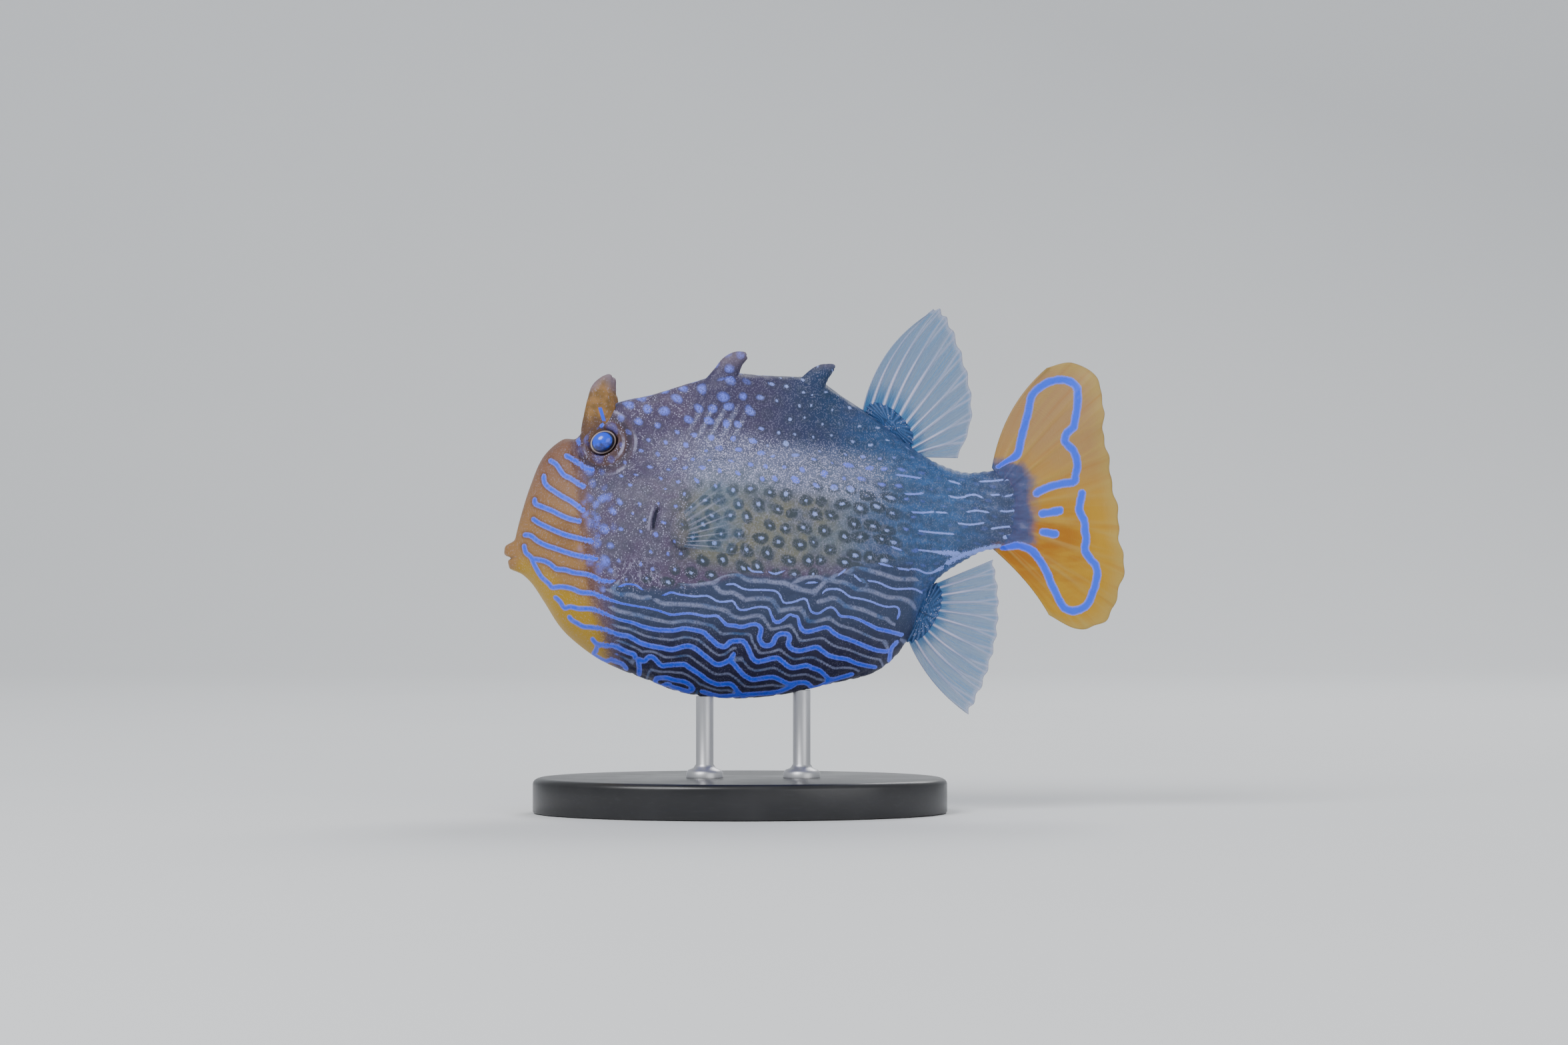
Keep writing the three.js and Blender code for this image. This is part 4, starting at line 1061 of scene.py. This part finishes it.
def lips(points):
    """Forward push of the lips, parted by the line of the mouth."""
    x, y, z = points.T
    near = fall(np.abs(y), 2.2, 4.2)
    front = fall(x, -50.6, -47.4)
    upper = 2.0 * np.exp(-(((z - 59.5) / 1.75) ** 4))
    lower = 1.35 * np.exp(-(((z - 56.1) / 1.6) ** 4))
    crease = 0.8 * bell(z - 57.75, 0.35)
    round_off = 1 - 0.3 * (y / 3.2) ** 2
    return near * front * np.clip(upper + lower - crease, 0, None) * np.clip(round_off, 0, 1)


def unrolled_height(s, f):
    """Height of each point as if the back were folded up flat beside the flank."""
    share = half_turn(f)
    even = np.linspace(0, 1, GIRTH_STEPS + 1)
    s_all, t_all = np.meshgrid(even, even, indexing="ij")
    points = bare_body(s_all.ravel(), t_all.ravel() / 2).reshape(GIRTH_STEPS + 1, GIRTH_STEPS + 1, 3)
    rise = np.linalg.norm(np.diff(points[:, :, 1:], axis=1), axis=2)
    length = np.concatenate([np.zeros((GIRTH_STEPS + 1, 1)), np.cumsum(rise, axis=1)], axis=1)
    level = points[:, WIDEST_STEP, 2][:, None] + length[:, WIDEST_STEP][:, None] - length
    i, j = (np.clip((place * GIRTH_STEPS).astype(int), 0, GIRTH_STEPS - 1) for place in (s, share))
    p, q = s * GIRTH_STEPS - i, share * GIRTH_STEPS - j
    near = level[i, j] * (1 - p) + level[i + 1, j] * p
    far = level[i, j + 1] * (1 - p) + level[i + 1, j + 1] * p
    return near * (1 - q) + far * q


def skin_points(column, row):
    """Places of the sheet's corners, drawn together at the mouth and flattened in the tail."""
    s, f = skin_place(column, row)
    points, out = body(s, f)
    top_x, top_z, low_x, low_z, _ = STATIONS[0]
    centre = np.array([(top_x + low_x) / 2 - 0.5, 0, (top_z + low_z) / 2])
    shrink = np.clip(row / CAP_ROWS, 0, 1)
    capped = centre + (points - centre) * np.sin(shrink * np.pi / 2)[:, None]
    points = np.where((row < CAP_ROWS)[:, None], capped, points)
    points = points + out * (skin_relief(points, out, unrolled_height(s, f)) * (row >= CAP_ROWS))[:, None]
    points[:, 0] -= lips(points)
    points[:, 1] *= 1 - 0.85 * smooth(points[:, 0], 57.5, 65.5)
    return points


# Spines, lobes and fins, with the columns and rows of their meshes
LOBE_GRID = (96, 48)
EYE_GRID = (64, 40)
SPINE_GRID = (48, 60)
TIP_START = 0.94
UPRIGHT_GRID = (240, 80)
SIDE_GRID = (216, 60)
TAIL_GRID = (270, 150)


def spine_mesh(name, spec, side, rib=0):
    """A horn or spine lofted through its rings, with a rounded tip."""
    rows = np.array(spec["rings"])
    count = len(rows) - 1

    def put(column, row):
        x, z, r = through(rows, row * count).T
        ahead, behind = (through(rows, np.clip(row * count + step, 0, count)) for step in (0.05, -0.05))
        step = ahead[:, :2] - behind[:, :2]
        step /= np.linalg.norm(step, axis=1)[:, None]
        turn = 2 * np.pi * column
        closing = np.sqrt(np.clip((1 - row) / (1 - TIP_START), 0, 1))
        r = r * np.where(row > TIP_START, closing, 1) * (1 + rib * np.cos(6 * turn) * (1 - row))
        wide = r * np.cos(turn)
        out = spec["y"] + spec["lean"] * row + r * spec["flat"] * np.sin(turn)
        return np.stack([x + step[:, 1] * wide, side * out, z - step[:, 0] * wide], axis=1)

    return grid_mesh(name, *SPINE_GRID, put)[0]


def lobe_mesh(name, lobe, y, folds, depth):
    """Fleshy root of a fin, with folds that run along its rays."""
    mesh = ball_mesh(name, *LOBE_GRID)
    points = corners(mesh)
    crest = np.cos(folds * np.arctan2(points[:, 0], points[:, 2]))
    points = points * lobe["radii"] * (1 + depth * crest)[:, None]
    place_corners(mesh, tilted(points, lobe["tilt"], lobe["x"], y, lobe["z"]))
    store(mesh, "fold", [crest, 0, 0])
    return mesh


def ray_shape(u, v, rays):
    """How much of a ray stands at each place of a fin, with the rays forking towards their tips."""
    place = u * (rays - 1)
    offset = (place - np.round(place)) * 2
    fork = 0.34 * smooth(v, 0.55, 1)
    return np.clip(bell(np.abs(offset) - fork, 0.3 - 0.17 * v), 0, 1)


def fin_sheet(name, rays, place, flesh, grid, membrane, ridge):
    """A closed thin fin: two faces whose rays are raised in the membrane, meeting at the edges."""
    bm = bmesh.new()
    meshes = []
    for face in (-1, 1):

        def put(u, v):
            middle, across = place(u, v)
            edge = np.minimum.reduce([smooth(u, 0, 0.012), smooth(1 - u, 0, 0.012), smooth(1 - v, 0, 0.02),
                                      smooth(v, -0.01, 0.01)])
            raised = ray_shape(u, v, rays) * ridge * (1 - 0.7 * v)
            thick = (membrane + raised + flesh(u, v)) * edge
            return middle + across * (face * thick)[:, None]

        mesh, u, v = grid_mesh(name, *grid, put)
        store(mesh, "span", [u, v, ray_shape(u, v, rays)])
        bm.from_mesh(mesh)
        meshes.append(mesh)
    bm.to_mesh(meshes[0])
    bm.free()
    bpy.data.meshes.remove(meshes[1])
    weld(meshes[0], FIN_MERGE)
    return meshes[0]


def spread(fin, u, v):
    """A point of a fin in the side view, with a leading ray that bends and a scalloped edge."""
    root, tip = (through(fin[end], u * (len(fin[end]) - 1)) for end in ("root", "tip"))
    notch = 1 - 0.028 * np.sin(np.pi * (u * (fin["rays"] - 1) % 1)) ** 2
    bend = (4 * v * (1 - v) * np.clip(1 - 2 * u, 0, 1))[:, None]
    return root + (tip - root) * (v * notch)[:, None] + np.array(fin["bow"]) * bend


def upright_fin(name, fin, rise):
    def place(u, v):
        x, z = spread(fin, u, v).T
        middle = np.stack([x, fin["sway"] * np.sin(np.pi * u) * v * v, z], axis=1)
        return middle, np.array([[0.0, 1.0, 0.0]])

    return fin_sheet(name, fin["rays"], place, lambda u, v: rise * (1 - v) ** 3, UPRIGHT_GRID, membrane=0.12,
                     ridge=0.3)


def side_fin(name, side, root_y):
    slant = PECTORAL["slant"]

    def place(u, v):
        x, z = spread(PECTORAL, u, v).T
        cupped = PECTORAL["cup"] * np.sin(np.pi * u) * v
        y = root_y + 1.2 + slant * (x - PECTORAL["lobe"]["x"]) + cupped
        across = np.array([[-slant, side, 0.0]]) / math.hypot(slant, 1)
        return np.stack([x, side * y, z], axis=1), across

    return fin_sheet(name, PECTORAL["rays"], place, lambda u, v: 0.4 * (1 - v) ** 3, SIDE_GRID, membrane=0.1,
                     ridge=0.24)


def tail_mesh(name):
    def place(u, v):
        across = 1 - 2 * u
        root = np.stack([CAUDAL["root_x"] - 2 - CAUDAL["root_bow"] * across**2,
                         CAUDAL["middle"] + CAUDAL["half_root"] * 0.95 * across], axis=1)
        tip = through(CAUDAL["tip"], u * (len(CAUDAL["tip"]) - 1))
        ruffle = 0.012 * np.sin(2 * np.pi * 7.3 * u + 1) + 0.008 * np.sin(2 * np.pi * 17.1 * u)
        reach = (v * (1 + ruffle * v**4 * within(u, 0.2, 0.3, 0.86, 0.95)))[:, None]
        bow = np.where((u < 0.5)[:, None], CAUDAL["bow_above"], CAUDAL["bow_below"])
        flat = root + (tip - root) * reach + bow * (4 * v * (1 - v) * across**2)[:, None]
        wave = CAUDAL["wave_height"] * np.sin(2 * np.pi * CAUDAL["waves"] * u) * v**3
        wave += 0.25 * np.sin(2 * np.pi * 9 * u) * v**6
        return np.stack([flat[:, 0], wave, flat[:, 1]], axis=1), np.array([[0.0, 1.0, 0.0]])

    def flesh(u, v):
        edges = smooth(u, 0, 0.16) * smooth(1 - u, 0, 0.16)
        return CAUDAL["fleshy"] * edges * np.clip(1 - v / (CAUDAL["fleshy_reach"] + 0.04), 0, 1) ** 1.5

    return fin_sheet(name, CAUDAL["rays"], place, flesh, TAIL_GRID, membrane=0.2, ridge=0.22)


def eye_mesh(name, y):
    """An eyeball at a place across the body."""
    mesh = ball_mesh(name, *EYE_GRID, lying=True)
    place_corners(mesh, tilted(corners(mesh) * EYE_RADII, EYE_TILT, EYE[0], y, EYE[1]))
    return mesh


# Settings that a user would change
def colour(name, description, default):
    return bpy.props.FloatVectorProperty(
        name=name, description=description, subtype="COLOR", size=3, min=0, max=1, default=default)


class BOXFISH_PG_colours(bpy.types.PropertyGroup):
    """Colours of the fish, its stand and the stage."""

    snout: colour("Snout", "Ground of the face", (0.33, 0.175, 0.062))
    snout_high: colour("Snout ridge", "Upper part of the face", (0.23, 0.115, 0.072))
    # Snout shade also paints the shadow beside the blue lines of the face
    snout_dark: colour("Snout shade", "Darker patches of the face", (0.125, 0.052, 0.024))
    chin: colour("Chin", "Yellow of the chin and throat", (0.44, 0.255, 0.004))
    lid: colour("Lids", "Brown skin round the eye", (0.10, 0.052, 0.04))
    line: colour("Lines", "Blue of the lines", (0.018, 0.09, 1.0))
    line_pale: colour("Pale lines", "Lavender blue at the edges of the lines", (0.16, 0.22, 1.0))
    back: colour("Back", "Violet brown of the back", (0.050, 0.042, 0.100))
    slate: colour("Slate", "Dark slate of the rear back and the rings", (0.010, 0.036, 0.105))
    cheek: colour("Cheek", "Violet brown of the cheek", (0.088, 0.062, 0.122))
    flank: colour("Flank", "Blue grey ground between the rings", (0.115, 0.145, 0.175))
    cheek_edge: colour("Cheek edge", "Dark brown where the snout meets the cheek", (0.12, 0.055, 0.045))
    tan: colour("Tan", "Tan ground in the middle of the flank", (0.165, 0.160, 0.112))
    stalk: colour("Tail stalk", "Blue grey of the rear", (0.032, 0.115, 0.32))
    ring: colour("Rings", "Dark rings of the flank", (0.034, 0.050, 0.068))
    band: colour("Upper bands", "Slate blue between the upper belly lines", (0.034, 0.054, 0.115))
    dark: colour("Bands", "Dark belly bands", (0.016, 0.018, 0.052))
    dot: colour("Dots", "Pale dots in the rings", (0.33, 0.44, 0.95))
    speck: colour("Specks", "Fine pale specks", (0.58, 0.57, 0.84))
    vein: colour("Veins", "Granular bands between the blue lines", (0.26, 0.29, 0.48))
    horn: colour("Horn", "Ochre of the horns", (0.18, 0.10, 0.03))
    horn_tip: colour("Horn tip", "Violet grey of the horns' tips", (0.22, 0.17, 0.22))
    tail_high: colour("Upper tail", "Tan of the upper tail", (0.37, 0.205, 0.08))
    tail_low: colour("Lower tail", "Amber of the lower tail", (0.47, 0.24, 0.012))
    tail_deep: colour("Deep amber", "Deepest amber of the tail", (0.38, 0.125, 0.003))
    tail_edge: colour("Tail edge", "Paler margin of the tail", (0.44, 0.31, 0.075))
    fin: colour("Fin", "Clear membrane of the fins", (0.01, 0.14, 0.36))
    fin_pale: colour("Fin sheen", "Paler streaks of the membrane", (0.16, 0.36, 0.62))
    fin_ray: colour("Fin rays", "Pale rays of the fins", (0.64, 0.60, 0.78))
    pupil: colour("Pupil", "Shining blue of the pupil", (0.0, 0.07, 0.95))
    pupil_dark: colour("Pupil shade", "Deep blue of the pupil", (0.002, 0.014, 0.16))
    eye_rim: colour("Iris", "Dark iris", (0.008, 0.010, 0.028))
    eye_ring: colour("Eye ring", "Thin pale ring round the iris", (0.46, 0.38, 0.34))
    base: colour("Stand base", "Black of the base", (0.012, 0.012, 0.014))
    base_worn: colour("Base bloom", "Faint grey bloom on the base", (0.04, 0.04, 0.045))
    rod: colour("Rod", "Steel of the rods", (0.62, 0.63, 0.65))
    rod_dark: colour("Rod shade", "Darker rings of the rods", (0.36, 0.37, 0.39))
    floor: colour("Floor", "Pale floor and backdrop", (0.86, 0.87, 0.88))
    floor_shade: colour("Floor shade", "Soft clouds in the floor", (0.83, 0.84, 0.86))


class BOXFISH_PG_stage(bpy.types.PropertyGroup):
    """Camera and light."""

    lens: bpy.props.FloatProperty(
        name="Lens", description="Focal length of the camera", default=100, min=35, max=200, unit="CAMERA")
    view_width: bpy.props.FloatProperty(
        name="View width", description="Width seen at the fish's middle", default=0.35562, min=0.1,
        unit="LENGTH")
    key: bpy.props.FloatProperty(
        name="Key light", description="Power of the main light", default=10.5, min=0, unit="POWER")
    fill: bpy.props.FloatProperty(
        name="Fill light", description="Power of the light near the camera", default=3.0, min=0,
        unit="POWER")


def colours():
    return bpy.context.scene.boxfish_colours


def shared(name, build):
    """A material made once and used by several pieces."""
    material = bpy.data.materials.get(name)
    if not material:
        made = Finish(name)
        build(made, made.mm(), colours())
        material = made.material
    return material


class BOXFISH_OT_skin(bpy.types.Operator):
    """Makes the one skin over head, armour and tail stalk"""

    bl_idname = "boxfish.skin"
    bl_label = "Skin"

    def execute(self, context):
        mesh, u, v = grid_mesh("skin", *SKIN_GRID, skin_points)
        mark_skin(mesh, unrolled_height(*skin_place(u, v)))
        weld(mesh, SKIN_MERGE, holes=True)
        show(mesh, shared("boxfish_skin", skin_finish), "armour", "head", "torso", "tail_stalk", "upper_lip",
             "lower_lip")
        return {"FINISHED"}


class BOXFISH_OT_eyes(bpy.types.Operator):
    """Makes both eyes"""

    bl_idname = "boxfish.eyes"
    bl_label = "Eyes"

    def execute(self, context):
        y = skin_at(*EYE)[1] - EYE_SUNK
        for name, side in SIDES.items():
            mesh = eye_mesh(f"eyeball_{name}", side * y)
            show(mesh, shared("boxfish_eye", eye_finish), "eye", f"eye_{name}")
        return {"FINISHED"}


class BOXFISH_OT_horns(bpy.types.Operator):
    """Makes the horns over the eyes and the spines of the back"""

    bl_idname = "boxfish.horns"
    bl_label = "Horns and spines"

    def execute(self, context):
        for name, side in SIDES.items():
            mesh = spine_mesh(f"brow_horn_{name}", HORN, side, rib=0.03)
            weld(mesh, SKIN_MERGE, slivers=True)
            show(mesh, shared("boxfish_horn", horn_finish), "horn", f"horn_{name}")
            for label, spec in (("front_spine", FRONT_SPINE), ("rear_spine", REAR_SPINE)):
                mesh = spine_mesh(f"back_{label}_{name}", spec, side)
                mark_skin(mesh)
                weld(mesh, SKIN_MERGE, slivers=True)
                show(mesh, shared("boxfish_skin", skin_finish), "armour", f"{label}_{name}")
        return {"FINISHED"}


class BOXFISH_OT_fins(bpy.types.Operator):
    """Makes the clear fins and their fleshy roots"""

    bl_idname = "boxfish.fins"
    bl_label = "Clear fins"

    def execute(self, context):
        clear = shared("boxfish_fin", fin_finish)
        clearer = shared("boxfish_side_fin", side_fin_finish)
        folded = shared("boxfish_fin_root", root_finish)
        for label, fin, rise in (("dorsal", DORSAL, 0.5), ("anal", ANAL, 0.4)):
            show(upright_fin(f"{label}_web", fin, rise), clear, "clear_fin", f"{label}_fin")
            show(lobe_mesh(f"{label}_root", fin["lobe"], 0, folds=22, depth=0.03), folded, "armour")
        root = PECTORAL["lobe"]
        root_y = skin_at(root["x"], root["z"])[1]
        for name, side in SIDES.items():
            mesh = side_fin(f"pectoral_web_{name}", side, root_y)
            show(mesh, clearer, "clear_fin", f"pectoral_fin_{name}")
            mesh = lobe_mesh(f"pectoral_root_{name}", root, side * (root_y - 0.3), folds=18, depth=0.02)
            mark_skin(mesh)
            show(mesh, shared("boxfish_skin", skin_finish), "armour")
        return {"FINISHED"}


class BOXFISH_OT_tail(bpy.types.Operator):
    """Makes the tail fin"""

    bl_idname = "boxfish.tail"
    bl_label = "Tail fin"

    def execute(self, context):
        mesh = tail_mesh("tail_web")
        x, _, z = vertex_mm(mesh).T
        signed = nearest(*line_field(x, z, TAIL_LINES))
        store(mesh, "line", [*wound(signed, TAIL_LINE_REACH), 0.55 + 0.4 * smooth(x, 59, 63)])
        show(mesh, shared("boxfish_tail", tail_finish), "tail_membrane", "caudal_fin")
        return {"FINISHED"}


class BOXFISH_OT_stand(bpy.types.Operator):
    """Makes the display stand"""

    bl_idname = "boxfish.stand"
    bl_label = "Display stand"

    def execute(self, context):
        radius, height = STAND["width"] / 2 * MM, STAND["height"] * MM
        bm = bmesh.new()
        bmesh.ops.create_cone(bm, cap_ends=True, segments=160, radius1=radius, radius2=radius, depth=height)
        bmesh.ops.translate(bm, verts=bm.verts, vec=(0, 0, height / 2))
        rim = [e for e in bm.edges if all(v.co.z > height * 0.9 for v in e.verts)]
        foot = [e for e in bm.edges if all(v.co.z < height * 0.1 for v in e.verts)]
        for edges, offset, segments in ((rim, 1.4, 5), (foot, 0.4, 2)):
            bmesh.ops.bevel(bm, geom=edges, offset=offset * MM, segments=segments, profile=0.5,
                            affect="EDGES", material=-1)
        bmesh.ops.scale(bm, verts=bm.verts, vec=(STAND["length"] / STAND["width"], 1, 1))
        mesh = mesh_of(bm, "stand_plinth")
        show(mesh, shared("stand_lacquer", lacquer_finish), "stand_black", "stand_base")
        mesh.set_sharp_from_angle(angle=SHARP)
        for label, x in zip(("front", "rear"), STAND["rod_x"]):
            self.rod(f"stand_post_{label}", f"stand_rod_{label}", x)
        return {"FINISHED"}

    def rod(self, name, node, x):
        """One turned rod with a rounded foot, up to the belly."""
        start = STAND["height"] + 0.02
        radius, foot = STAND["rod_radius"], STAND["foot_radius"]
        profile = [(0, start), (foot, start), (foot, start + 1.0), (foot - 0.5, start + 1.7),
                   (radius + 0.6, start + 2.1), (radius, start + 3.0), (radius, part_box(node)[1].z / MM)]
        bm = bmesh.new()
        verts = [bm.verts.new((x * MM + r * MM, 0, z * MM)) for r, z in profile]
        edges = [bm.edges.new(pair) for pair in zip(verts[:-1], verts[1:])]
        bmesh.ops.spin(bm, geom=verts + edges, cent=(x * MM, 0, 0), axis=(0, 0, 1), steps=48,
                       angle=2 * math.pi, use_merge=True)
        mesh = mesh_of(bm, name)
        weld(mesh, ROD_MERGE, holes=True)
        show(mesh, shared("stand_steel", steel_finish), "stand_steel", node)
        mesh.set_sharp_from_angle(angle=SHARP)


# Place of the photo's middle on the fish, in millimetres. The rest of the stage is in metres
PHOTO_MIDDLE = (9.98, 65.8)
LIGHT_AIM = (0.01, 0, 0.065)
AIR_COLOUR = (0.92, 0.96, 1, 1)
AIR_STRENGTH = 0.52
# Sweep of the floor: its width, where it starts, how far it runs, and where and how it bends up
FLOOR_WIDTH = 5
FLOOR_START = -1.5
FLOOR_RUN = 3.4
FLOOR_BACK = 0.9
FLOOR_BEND = 0.5
FLOOR_DROP = 0.0001
SENSOR_WIDTH = 36


class BOXFISH_OT_stage(bpy.types.Operator):
    """Makes the floor, the lights and the camera"""

    bl_idname = "boxfish.stage"
    bl_label = "Stage"

    def execute(self, context):
        settings = context.scene.boxfish_stage
        self.floor(context)
        self.camera(context, settings)
        self.light(context, "key", (-0.55, -0.75, 0.95), 0.7, settings.key)
        self.light(context, "fill", (0.75, -0.95, 0.35), 0.9, settings.fill)
        self.light(context, "rim", (0.35, 0.75, 0.85), 0.6, settings.key * 0.5)
        world = bpy.data.worlds.new("stage_air")
        world.use_nodes = True
        air = world.node_tree.nodes["Background"]
        air.inputs[0].default_value = AIR_COLOUR
        air.inputs[1].default_value = AIR_STRENGTH
        context.scene.world = world
        return {"FINISHED"}

    def floor(self, context):
        """A sweep that is flat under the stand and rises behind it."""
        def put(u, v):
            run = v * FLOOR_RUN + FLOOR_START
            bend = np.clip((run - FLOOR_BACK) / FLOOR_BEND, 0, np.pi / 2)
            y = np.where(run < FLOOR_BACK, run, FLOOR_BACK + FLOOR_BEND * np.sin(bend))
            wall = np.clip(run - FLOOR_BACK - FLOOR_BEND * np.pi / 2, 0, None)
            z = FLOOR_BEND * (1 - np.cos(bend)) + wall - FLOOR_DROP
            return np.stack([(u - 0.5) * FLOOR_WIDTH, y, z], axis=1) / MM

        mesh = grid_mesh("stage_floor", 8, 120, put)[0]
        floor = bpy.data.objects.new("stage_floor", mesh)
        context.scene.collection.objects.link(floor)
        mesh.shade_smooth()
        mesh.materials.append(shared("stage_pale", stage_finish))

    def camera(self, context, settings):
        """The photo's side view: its middle pixel's place on the fish, level with it."""
        data = bpy.data.cameras.new("camera")
        data.sensor_width = SENSOR_WIDTH
        data.lens = settings.lens
        data.clip_start, data.clip_end = 0.01, 20
        camera = bpy.data.objects.new("camera", data)
        context.scene.collection.objects.link(camera)
        distance = settings.view_width * settings.lens / SENSOR_WIDTH
        camera.location = (PHOTO_MIDDLE[0] * MM, -distance, PHOTO_MIDDLE[1] * MM)
        camera.rotation_euler = (math.pi / 2, 0, 0)
        context.scene.camera = camera

    def light(self, context, name, place, size, power):
        data = bpy.data.lights.new(name, "AREA")
        data.energy = power
        data.shape = "DISK"
        data.size = size
        lamp = bpy.data.objects.new(name, data)
        context.scene.collection.objects.link(lamp)
        lamp.location = place
        aim = Vector(LIGHT_AIM) - Vector(place)
        lamp.rotation_euler = aim.to_track_quat("-Z", "Y").to_euler()


class BOXFISH_PT_panel(bpy.types.Panel):
    """Lists the fish's pieces, the stage and their settings"""

    bl_idname = "BOXFISH_PT_panel"
    bl_label = "Boxfish"
    bl_space_type = "VIEW_3D"
    bl_region_type = "UI"
    bl_category = "Boxfish"

    def draw(self, context):
        column = self.layout.column()
        for operator in OPERATORS:
            column.operator(operator.bl_idname)
        for group in (context.scene.boxfish_stage, context.scene.boxfish_colours):
            for name in group.__annotations__:
                column.prop(group, name)


OPERATORS = (BOXFISH_OT_skin, BOXFISH_OT_eyes, BOXFISH_OT_horns, BOXFISH_OT_fins, BOXFISH_OT_tail,
             BOXFISH_OT_stand, BOXFISH_OT_stage)
CLASSES = (BOXFISH_PG_colours, BOXFISH_PG_stage, *OPERATORS, BOXFISH_PT_panel)


def register():
    for made in CLASSES:
        bpy.utils.register_class(made)
    bpy.types.Scene.boxfish_colours = bpy.props.PointerProperty(type=BOXFISH_PG_colours)
    bpy.types.Scene.boxfish_stage = bpy.props.PointerProperty(type=BOXFISH_PG_stage)


def unregister():
    del bpy.types.Scene.boxfish_stage
    del bpy.types.Scene.boxfish_colours
    for made in reversed(CLASSES):
        bpy.utils.unregister_class(made)


def main():
    register()
    bpy.ops.boxfish.stage()
    bpy.ops.boxfish.skin()
    bpy.ops.boxfish.eyes()
    bpy.ops.boxfish.horns()
    bpy.ops.boxfish.fins()
    bpy.ops.boxfish.tail()
    bpy.ops.boxfish.stand()


if __name__ == "__main__":
    main()
